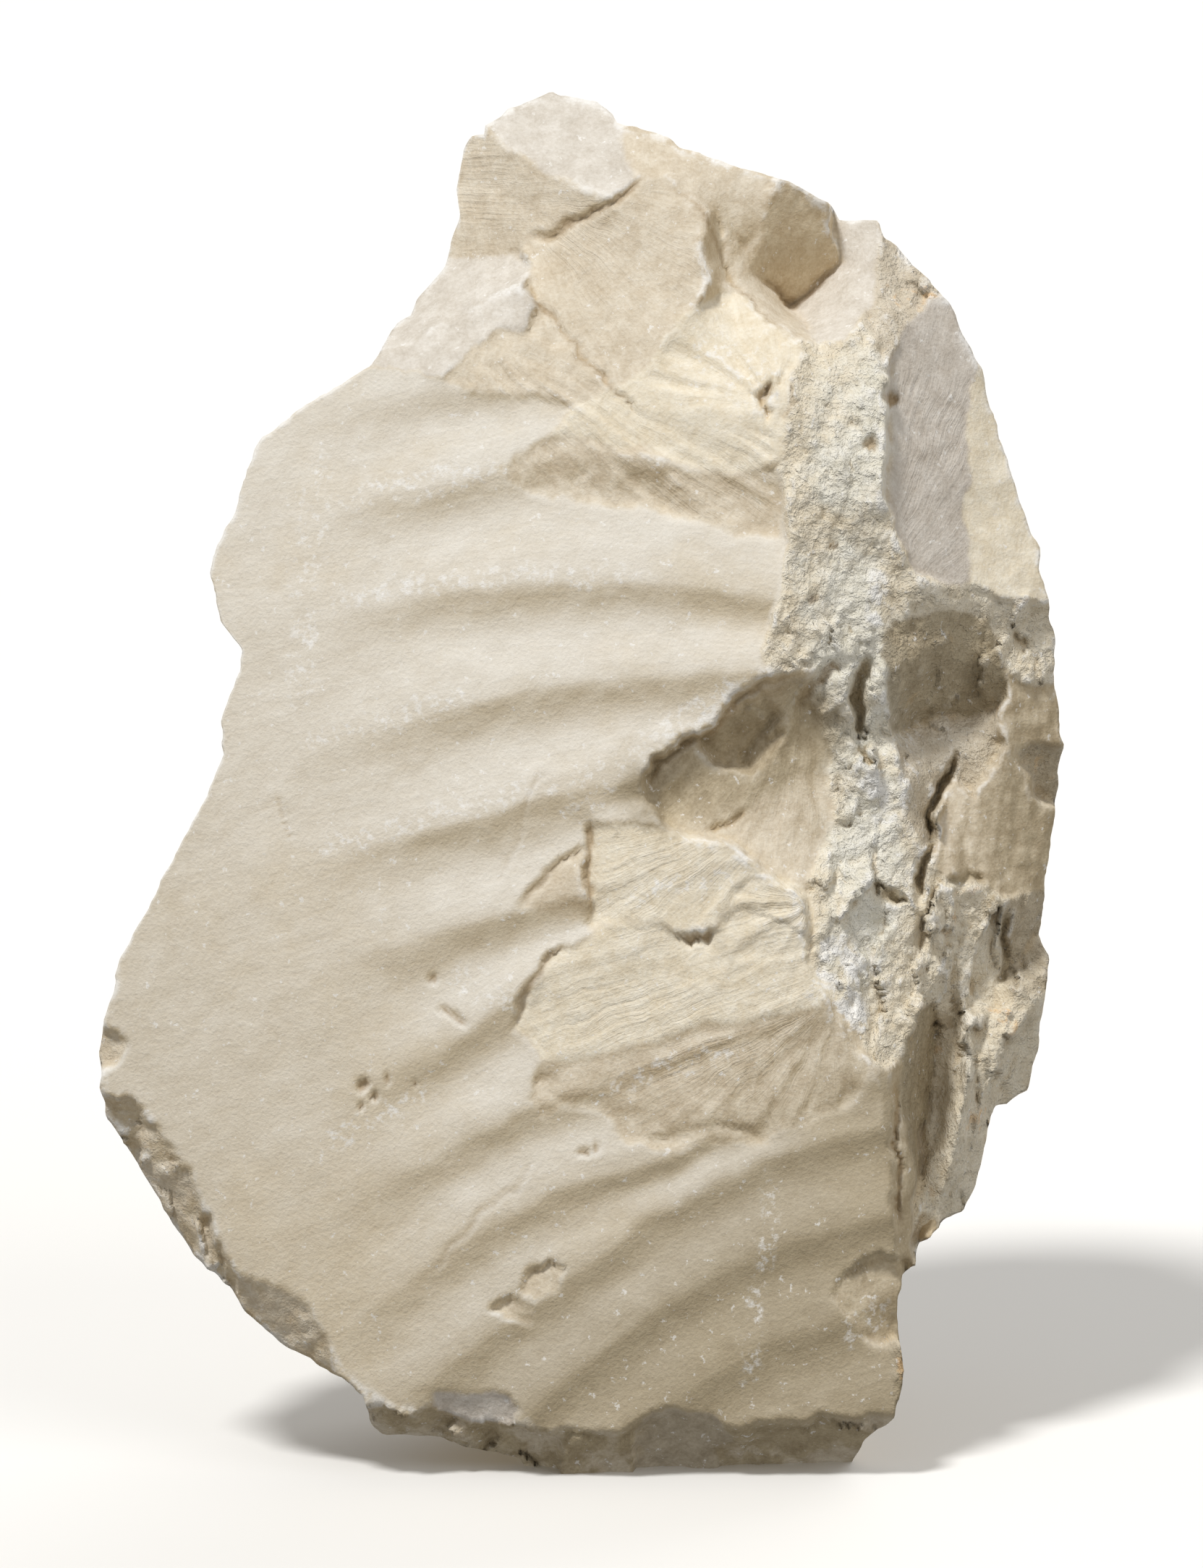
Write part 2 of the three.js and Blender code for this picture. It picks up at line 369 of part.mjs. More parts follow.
function frontDepth(x, z) {
  const wx = 0.8 * fractal(x / 4.1, z / 4.1, 3.3, 3);
  const wz = 0.8 * fractal(x / 4.1, z / 4.1, 9.7, 3);
  let h = FACE_DEPTH - (z - FACE_CROWN[1]) ** 2 / FACE_BOW_UP - (x - FACE_CROWN[0]) ** 2 / FACE_BOW_ACROSS;
  const kept = 1 - 0.75 * smooth(-1, 4, insideDistance(MIDDLE_BREAK, x, z));
  const fade = kept * smooth(-42, -12, x) * smooth(152, 142, z);
  h -= fluteRelief(x + 0.4 * wx, z + 0.5 * wz) * fade;
  h = Math.min(h, FACE_DEPTH - 3 - FLANK_SLOPE * (x - FLANK_EDGE));
  const px = x + wx;
  const pz = z + wz;
  Object.values(FACETS).forEach((loop) => {
    const d = insideDistance(loop, px, pz);
    if (d > -EDGE_WIDTH) {
      h += (facetDepth(loop, px, pz) - h) * smooth(-0.8 * EDGE_WIDTH, 0.2 * EDGE_WIDTH, d);
    }
  });
  Object.values(SCARS).forEach(({ loop, at, depth, slope, bow }) => {
    const d = insideDistance(loop, px, pz);
    if (d > -EDGE_WIDTH) {
      const ex = px - at[0];
      const ez = pz - at[1];
      const floor = depth + slope[0] * ex + slope[1] * ez + (bow[0] * ex * ex + bow[1] * ez * ez) / 2;
      h += (Math.min(h, floor) - h) * smooth(-0.5 * EDGE_WIDTH, 0.5 * EDGE_WIDTH, d);
    }
  });
  Object.values(DENTS).forEach((loop) => {
    const d = insideDistance(loop, px, pz);
    if (d > -EDGE_WIDTH) {
      h -= Math.max(0, facetDepth(loop, px, pz)) * smooth(-0.5 * EDGE_WIDTH, 0.5 * EDGE_WIDTH, d);
    }
  });
  CREASES.forEach(({ line, depth, reach }) => {
    const [d, t] = chainDistance(line, px, pz, false);
    h -= depth * smooth(reach, 0.2, d) * smooth(0, 0.08, t) * smooth(1, 0.9, t);
  });
  return h;
}

function backDepth(x, z, rimDepth, inward) {
  const breaks = Object.values(BACK_BREAKS).map(
    ({ depth, slope }) => depth + slope[0] * x + slope[1] * (z - 95),
  );
  let c = Math.max(...breaks);
  BACK_HOLLOWS.forEach(({ at, reach, depth }) => {
    const r = Math.hypot((x - at[0]) / reach[0], (z - at[1]) / reach[1]);
    c += depth * smooth(1, 0.55, r) * (1 - 0.4 * r);
  });
  c += 2.2 * fractal(x / 21, z / 21, 5.1, 3) + 0.8 * fractal(x / 6, z / 6, 1.7, 2);
  const lump = 1 + 0.3 * noise(x / 17, z / 17, 8.2);
  const wall = rimDepth - WALL_STEEPNESS * lump * inward - 3 * smooth(0, 4, inward);
  return Math.max(c, wall);
}

// Points along the outline at even steps
function outlineSteps(count) {
  const lengths = OUTLINE.map((p, i) => {
    const q = OUTLINE[(i + 1) % OUTLINE.length];
    return Math.hypot(q[0] - p[0], q[1] - p[1]);
  });
  const total = lengths.reduce((a, b) => a + b, 0);
  const steps = [];
  let i = 0;
  let before = 0;
  for (let s = 0; s < count; s += 1) {
    const want = (total * s) / count;
    while (before + lengths[i] < want) {
      before += lengths[i];
      i += 1;
    }
    const t = (want - before) / lengths[i];
    const p = OUTLINE[i];
    const q = OUTLINE[(i + 1) % OUTLINE.length];
    steps.push([p[0] + t * (q[0] - p[0]), p[1] + t * (q[1] - p[1])]);
  }
  return steps;
}

// Triangles of a disc of rings, ring k holding 6 k points; those along the rim start with two rim points
function discTriangles(rings) {
  const index = (k, s) => (k === 0 ? 0 : 1 + 3 * k * (k - 1) + (s % (6 * k)));
  const triangles = [];
  const border = [];
  for (let k = 1; k <= rings; k += 1) {
    const outermost = k === rings ? border : triangles;
    for (let side = 0; side < 6; side += 1) {
      for (let s = 0; s < k; s += 1) {
        const outer = side * k + s;
        const inner = side * (k - 1) + s;
        outermost.push([index(k, outer), index(k, outer + 1), index(k - 1, inner)]);
        if (s < k - 1) {
          triangles.push([index(k, outer + 1), index(k - 1, inner + 1), index(k - 1, inner)]);
        }
      }
    }
  }
  return { triangles, border };
}

// Calls back with each point of a disc of rings: its ring, its turn round the disc, 0 to 1, and its share out
function eachDiscPoint(rings, visit) {
  for (let k = 0; k <= rings; k += 1) {
    const count = Math.max(1, 6 * k);
    for (let s = 0; s < count; s += 1) {
      visit(k, s / count, k / rings);
    }
  }
}

// The leaned-back lump before it is trimmed flat underneath
function roughSolid() {
  const lean = THREE.MathUtils.degToRad(LEAN_DEG);
  const stand = (x, z, h) => [
    x, z * Math.sin(lean) - h * Math.cos(lean), z * Math.cos(lean) + h * Math.sin(lean) - FLOOR_HEIGHT,
  ];
  const rim = outlineSteps(12 * RINGS).map(([x, z]) => [x, z, frontDepth(x, z)]);
  const rimAt = (turn) => {
    const place = turn * rim.length;
    const low = Math.floor(place) % rim.length;
    const t = place - Math.floor(place);
    return rim[low].map((v, a) => v + t * (rim[(low + 1) % rim.length][a] - v));
  };
  const front = [];
  eachDiscPoint(2 * RINGS, (k, turn, share) => {
    const edge = rimAt(turn);
    const x = MIDDLE[0] + share * (edge[0] - MIDDLE[0]);
    const z = MIDDLE[1] + share * (edge[1] - MIDDLE[1]);
    front.push(stand(x, z, k === 2 * RINGS ? edge[2] : frontDepth(x, z)));
  });
  const back = [];
  eachDiscPoint(RINGS, (k, turn, step) => {
    if (k === RINGS) {
      return;
    }
    // Rings crowd toward the rim, where the wall drops
    const share = step + 0.16 * Math.sin(Math.PI * step);
    const edge = rimAt(turn);
    const away = [share * (edge[0] - MIDDLE[0]), share * (edge[1] - MIDDLE[1])];
    const [x, z] = [MIDDLE[0] + away[0], MIDDLE[1] + away[1]];
    const inward = (1 - share) * Math.hypot(edge[0] - MIDDLE[0], edge[1] - MIDDLE[1]);
    const c = backDepth(x, z, edge[2], inward);
    const lump = LUMP_HEIGHT * smooth(0, 6, inward) * fractal(x / 12, z / 12, c / 12, 3);
    const swell = 1 + Math.min(lump, 0.5 * inward) / Math.hypot(away[0], away[1], 40);
    back.push(stand(MIDDLE[0] + swell * away[0], MIDDLE[1] + swell * away[1], c));
  });
  const faces = [];
  const whole = discTriangles(2 * RINGS);
  [...whole.triangles, ...whole.border].forEach(([a, b, c]) => faces.push(a, b, c));
  const rimStart = front.length - rim.length;
  const behind = (i) => (i < back.length ? front.length + i : rimStart + 2 * (i - back.length));
  const lining = discTriangles(RINGS);
  lining.triangles.forEach(([a, b, c]) => faces.push(behind(a), behind(c), behind(b)));
  lining.border.forEach(([a, b, c]) => {
    const between = behind(a) + 1;
    faces.push(behind(c), between, behind(a));
    faces.push(behind(c), behind(b), between);
  });
  const geometry = new THREE.BufferGeometry();
  geometry.setAttribute('position', new THREE.Float32BufferAttribute([...front, ...back].flat(), 3));
  geometry.setIndex(faces);
  return geometry;
}

const { Manifold, Mesh } = await Module().then((kernel) => {
  kernel.setup();
  return kernel;
});

function toSolid(geometry) {
  const welded = mergeVertices(geometry, 1e-5);
  return new Manifold(new Mesh({
    numProp: 3,
    vertProperties: new Float32Array(welded.attributes.position.array),
    triVerts: new Uint32Array(welded.index.array),
  }));
}

// The ground under the rock, taken away so that it stands on a flat spot
function groundBlock() {
  const block = new THREE.BoxGeometry(400, 400, 60);
  block.translate(0, 0, -30);
  block.deleteAttribute('normal');
  block.deleteAttribute('uv');
  return block;
}

const trimmed = toSolid(roughSolid()).subtract(toSolid(groundBlock()));
const mesh = trimmed.getMesh();
const geometry = new THREE.BufferGeometry();
geometry.setAttribute('position', new THREE.Float32BufferAttribute(mesh.vertProperties, 3));
geometry.setIndex(new THREE.Uint32BufferAttribute(mesh.triVerts, 1));
geometry.computeBoundingBox();
const box = geometry.boundingBox;
geometry.translate(-(box.min.x + box.max.x) / 2, -(box.min.y + box.max.y) / 2, -box.min.z);
geometry.computeVertexNormals();

const rock = new THREE.Mesh(geometry, new THREE.MeshStandardMaterial({
  color: '#D3C8B2',
  roughness: 0.92,
  metalness: 0,
}));
rock.name = 'chalk_rock';

const group = new THREE.Group();
group.name = 'chalk_rock_part';
group.add(rock);

export default group;
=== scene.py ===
"""A broken lump of chalk with a scraped, fluted face, standing on a pale studio floor."""
import logging
import math
from dataclasses import dataclass
from enum import Enum

import bmesh
import bpy
import numpy as np
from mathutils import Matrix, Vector


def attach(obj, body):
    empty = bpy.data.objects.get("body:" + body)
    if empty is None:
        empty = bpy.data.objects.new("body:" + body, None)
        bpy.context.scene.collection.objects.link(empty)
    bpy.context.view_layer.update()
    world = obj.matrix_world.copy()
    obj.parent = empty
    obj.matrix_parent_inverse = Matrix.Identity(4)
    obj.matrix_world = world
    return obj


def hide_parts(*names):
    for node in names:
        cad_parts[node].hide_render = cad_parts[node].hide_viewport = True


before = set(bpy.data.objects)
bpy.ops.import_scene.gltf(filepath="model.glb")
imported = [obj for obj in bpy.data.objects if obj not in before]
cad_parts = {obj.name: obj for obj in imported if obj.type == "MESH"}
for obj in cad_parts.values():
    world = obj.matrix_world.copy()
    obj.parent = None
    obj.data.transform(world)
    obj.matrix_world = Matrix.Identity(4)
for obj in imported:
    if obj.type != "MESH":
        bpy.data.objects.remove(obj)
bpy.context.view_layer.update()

LOG = logging.getLogger("chalk_rock")
MM = 0.001
Array = np.ndarray
Loop = tuple[tuple[float, ...], ...]

# Stance: the rock leans back, and the camera looks square at the leaning face
LEAN = math.radians(10)
FLOOR_HEIGHT = 2.25
ORIGIN_BACK = 21.622


class Zone(Enum):
    """Named surface zones, each kept as a point attribute of the mesh.

    Attributes:
        SCRAPED: Face worked with a hand tool.
        SEAM: Green-grey seam.
        GREY: Cool, even facets.
        FLANK: Rough right flank.
        SPLINTER: Upright splinters.
        DUST: Powder.
        CRACK: Rusty cracks and pits.
        HOLLOW: Hollows, darkened with painted shade.
        CRUMB: Loose crumbs.
        EDGE: Chipped outer edge.
        PAINTED_SHADE: Painted shade toward the lower right, along the left edge and on the right plate.
        FRESH_AND_PAINTED_LIGHT: Newest breaks, and painted light on flank facets that face away from the
            light.
        PALE: Clean old breaks.
    """

    SCRAPED = "scraped"
    SEAM = "seam"
    GREY = "grey"
    FLANK = "flank"
    SPLINTER = "splinter"
    DUST = "dust"
    CRACK = "crack"
    HOLLOW = "hollow"
    CRUMB = "crumb"
    EDGE = "edge"
    PAINTED_SHADE = "painted_shade"
    FRESH_AND_PAINTED_LIGHT = "fresh_and_painted_light"
    PALE = "pale"


# Chance patterns


def smooth(low: float, high: float, value: Array) -> Array:
    """Ease from 0 to 1 between two limits.

    Args:
        low: Value that gives 0.
        high: Value that gives 1; it may be the smaller of the two.
        value: Values to ease.

    Returns:
        Eased values from 0 to 1.
    """
    step = np.clip((value - low) / (high - low), 0, 1)
    return step * step * (3 - 2 * step)


def lattice(i: Array, j: Array, k: Array | int) -> Array:
    """Give each whole-number corner a fixed chance value.

    Args:
        i: First whole-number coordinate.
        j: Second whole-number coordinate.
        k: Third whole-number coordinate.

    Returns:
        Values from 0 to 1.
    """
    # Large odd numbers scatter corners that lie side by side
    n = (i * 374761393 + j * 668265263 + k * 2147483647 + 974711) & 0xFFFFFFFF
    n = ((n ^ (n >> 13)) * 1274126177) & 0xFFFFFFFF
    return ((n ^ (n >> 16)) & 0xFFFF) / 65535.0


def noise(x: Array, y: Array, z: Array | float) -> Array:
    """Smoothly varying chance value.

    Args:
        x: First coordinate, in cells.
        y: Second coordinate, in cells.
        z: Third coordinate, in cells.

    Returns:
        Values from -1 to 1.
    """
    z = np.zeros_like(x) + z
    low = [np.floor(v) for v in (x, y, z)]
    whole = [v.astype(np.int64) for v in low]
    ease = []
    for value, floor in zip((x, y, z), low):
        t = value - floor
        ease.append(t * t * t * (t * (t * 6 - 15) + 10))
    total = np.zeros_like(x)
    for corner in range(8):
        step = (corner & 1, (corner >> 1) & 1, (corner >> 2) & 1)
        weight = np.ones_like(x)
        for axis in range(3):
            weight = weight * (ease[axis] if step[axis] else 1 - ease[axis])
        total += weight * lattice(whole[0] + step[0], whole[1] + step[1], whole[2] + step[2])
    return total * 2 - 1


def fractal(x: Array, y: Array, z: Array | float, octaves: int) -> Array:
    """Sum of ever finer chance patterns.

    Args:
        x: First coordinate, in cells.
        y: Second coordinate, in cells.
        z: Third coordinate, in cells.
        octaves: How many patterns are summed.

    Returns:
        Values from about -2 to 2.
    """
    total = np.zeros_like(x)
    amount = 1.0
    size = 1.0
    for k in range(octaves):
        total += amount * noise(x * size + 17.3 * k, y * size - 9.1 * k, z * size + 4.7 * k)
        amount *= 0.5
        size *= 2.03
    return total


def chips(points: Array, size: float, seed: int) -> Array:
    """Small flat chips side by side, each tilted its own way.

    Args:
        points: Positions, one row each, in mm.
        size: Width of a chip, in mm.
        seed: Whole number that picks the pattern.

    Returns:
        Height of the chips for a slope of about 1, in mm.
    """
    place = points / size + seed * 3.7
    base = np.floor(place).astype(np.int64)
    best = np.full(len(points), 1e9)
    height = np.zeros(len(points))
    for corner in range(27):
        cell = base + np.array((corner % 3 - 1, corner // 3 % 3 - 1, corner // 9 - 1))
        i, j, k = cell.T
        away = place - cell - np.stack([lattice(i, j, k * 5 + axis) for axis in range(3)], 1)
        reach = (away ** 2).sum(1)
        near = reach < best
        best = np.where(near, reach, best)
        tilt = np.stack([lattice(i + 31, j + 57, k * 5 + axis) - 0.5 for axis in range(3)], 1)
        step = 0.5 * (lattice(i + 11, j + 91, k) - 0.5)
        height = np.where(near, 2 * (away * tilt).sum(1) + step, height)
    return height * size


# Lines and loops on the face


def chain_distance(points: Loop, x: Array, z: Array, closed: bool = False) -> tuple[Array, Array]:
    """Distance to a chain of straight lines.

    Args:
        points: Corners of the chain.
        x: Positions across.
        z: Positions up.
        closed: Whether the last corner joins the first.

    Returns:
        The distance, and where along the chain the nearest point is, from 0 to 1.
    """
    best = np.full(x.shape, 1e18)
    along = np.zeros(x.shape)
    count = len(points) if closed else len(points) - 1
    for i in range(count):
        ax, az = points[i][:2]
        bx, bz = points[(i + 1) % len(points)][:2]
        ex = bx - ax
        ez = bz - az
        t = np.clip(((x - ax) * ex + (z - az) * ez) / (ex * ex + ez * ez), 0, 1)
        reach = (x - ax - t * ex) ** 2 + (z - az - t * ez) ** 2
        along = np.where(reach < best, (i + t) / count, along)
        best = np.minimum(best, reach)
    return np.sqrt(best), along


def inside_distance(loop: Loop, x: Array, z: Array) -> Array:
    """Distance to a closed loop.

    Args:
        loop: Corners of the loop.
        x: Positions across.
        z: Positions up.

    Returns:
        Distances, positive inside the loop.
    """
    inside = np.zeros(x.shape, bool)
    for i, corner in enumerate(loop):
        ax, az = corner[:2]
        bx, bz = loop[(i + 1) % len(loop)][:2]
        if az == bz:
            continue
        crosses = (az > z) != (bz > z)
        inside ^= crosses & (x < ax + (z - az) * (bx - ax) / (bz - az))
    reach = chain_distance(loop, x, z, True)[0]
    return np.where(inside, reach, -reach)


def blended_depth(corners: Loop, x: Array, z: Array, slack: float = 2.0) -> Array:
    """Depth inside a facet, blended from its corners.

    Args:
        corners: Corners as (x, z, depth).
        x: Positions across.
        z: Positions up.
        slack: How far a depth may lie outside those of the corners.

    Returns:
        Depths.
    """
    depth = np.array([corner[2] for corner in corners])
    dx = [corner[0] - x for corner in corners]
    dz = [corner[1] - z for corner in corners]
    reach = [np.hypot(a, b) + 1e-6 for a, b in zip(dx, dz)]
    half = []
    for i in range(len(corners)):
        j = (i + 1) % len(corners)
        cross = dx[i] * dz[j] - dz[i] * dx[j]
        dot = dx[i] * dx[j] + dz[i] * dz[j]
        half.append(cross / (reach[i] * reach[j] + dot + 1e-9))
    total = np.zeros_like(x)
    weights = np.zeros_like(x)
    for i in range(len(corners)):
        weight = (half[i - 1] + half[i]) / reach[i]
        total += weight * depth[i]
        weights += weight
    weights = np.where(np.abs(weights) < 1e-9, 1e-9, weights)
    return np.clip(total / weights, depth.min() - slack, depth.max() + slack)


@dataclass(frozen=True)
class Facet:
    """A broken facet given by its corners as (x, z, depth).

    Attributes:
        corners: Corners in order, shared with the facets next to it.
        zones: Surface zones that the facet belongs to.
    """

    corners: Loop
    zones: tuple[Zone, ...] = ()


@dataclass(frozen=True)
class Scar:
    """A flake's bed cut into what is there, as a tilted and bowed plane.

    Attributes:
        loop: Edge of the scar.
        at: A point of the plane.
        depth: Depth at that point.
        slope: Slope across and up.
        bow: Change of slope across and up.
        edge: Width of the broken edge.
        zones: Surface zones that the scar belongs to.
    """

    loop: Loop
    at: tuple[float, float]
    depth: float
    slope: tuple[float, float]
    bow: tuple[float, float] = (0.0, 0.0)
    edge: float = 1.2
    zones: tuple[Zone, ...] = ()

    def floor(self, x: Array, z: Array) -> Array:
        """Depth of the plane.

        Args:
            x: Positions across.
            z: Positions up.

        Returns:
            Depths.
        """
        ex = x - self.at[0]
        ez = z - self.at[1]
        bowed = (self.bow[0] * ex * ex + self.bow[1] * ez * ez) / 2
        return self.depth + self.slope[0] * ex + self.slope[1] * ez + bowed


@dataclass(frozen=True)
class Dent:
    """A shallow flake scar given by how far its corners lie below what is there.

    Attributes:
        corners: Corners in order, as (x, z, drop).
        edge: Width of the broken edge.
        zones: Zones that it belongs to.
    """

    corners: Loop
    edge: float = 1.1
    zones: tuple[Zone, ...] = ()


@dataclass(frozen=True)
class Crease:
    """A groove along a line, or with no depth a band of colour that fades to its sides and ends.

    Attributes:
        line: Corners of the line.
        depth: How deep it is.
        reach: Half its width.
        zone: Zone that its middle belongs to.
    """

    line: Loop
    depth: float
    reach: float
    zone: Zone = Zone.CRACK


@dataclass(frozen=True)
class Fan:
    """Hackle lines that spread from a point over one stretch of a break.

    Attributes:
        loop: Edge of the stretch.
        centre: Point that the lines spread from.
        spacing: Space from line to line in the middle of the stretch.
        height: Height of the lines.
        run: Length over which a line changes.
    """

    loop: Loop
    centre: tuple[float, float]
    spacing: float
    height: float
    run: float = 14.0

    def radius(self) -> float:
        """Mean distance of the stretch from the fan's centre."""
        return sum(math.dist(corner[:2], self.centre) for corner in self.loop) / len(self.loop)


@dataclass(frozen=True)
class Pit:
    """A small round pit.

    Attributes:
        at: Its middle.
        radius: Its radius.
        depth: Its depth.
    """

    at: tuple[float, float]
    radius: float
    depth: float


# Points given in mm on the outline plane: across, up and, where there is a third number, depth
OUTLINE: Loop = (
    (-4.5, 189), (-8, 187.8), (-10.5, 186.8), (-13.8, 184.3), (-14, 183.1), (-15.6, 183), (-16.9, 181),
    (-17.8, 175.5), (-17.3, 172), (-18.5, 168), (-19.2, 165), (-23.2, 160.5), (-24, 158), (-26.5, 156),
    (-29.3, 150.6), (-33, 148.5), (-40, 144), (-44, 141), (-46, 136.5), (-47.3, 131), (-50.2, 126),
    (-51, 122), (-49.5, 116), (-46.6, 112), (-47, 109), (-49.4, 102.6), (-48.9, 98), (-51.5, 92),
    (-57.5, 80.5), (-63, 70.5), (-65.2, 62), (-66, 57.5), (-65.5, 54.5), (-66, 52.5), (-65, 48.5),
    (-60.3, 40.5), (-55, 32), (-51.5, 27.5), (-48.5, 25), (-46.5, 21.5), (-41, 17), (-33, 13),
    (-30.5, 10.5), (-29.5, 7), (-27.3, 4.8), (-20, 4.4), (-14, 2.6), (-9, 1.4), (-6, -4), (8, -6),
    (31, -6), (36, -1), (38, 4), (42, 7.3), (43.3, 14), (42.3, 22), (43.3, 26.7), (45, 28.3),
    (45.8, 30.8), (49.5, 34.2), (52, 35), (54, 40), (56.3, 49.4), (58.2, 49.6), (61, 51.5),
    (62.6, 57), (64.2, 70), (63.2, 73), (63.5, 80), (65.6, 94), (66, 98), (64.8, 110), (64, 119.5),
    (62.6, 123.5), (62.4, 126.5), (60, 132.5), (56.7, 143), (54.5, 151), (51.5, 156.5), (50.2, 160),
    (46.5, 164), (43, 168), (41.2, 169.2), (40.2, 171.3), (35, 171.8), (34.1, 173.4), (29, 176),
    (20, 179), (13, 181), (10, 183.3), (4.3, 184.6), (3.7, 186.2), (1.5, 188),
)

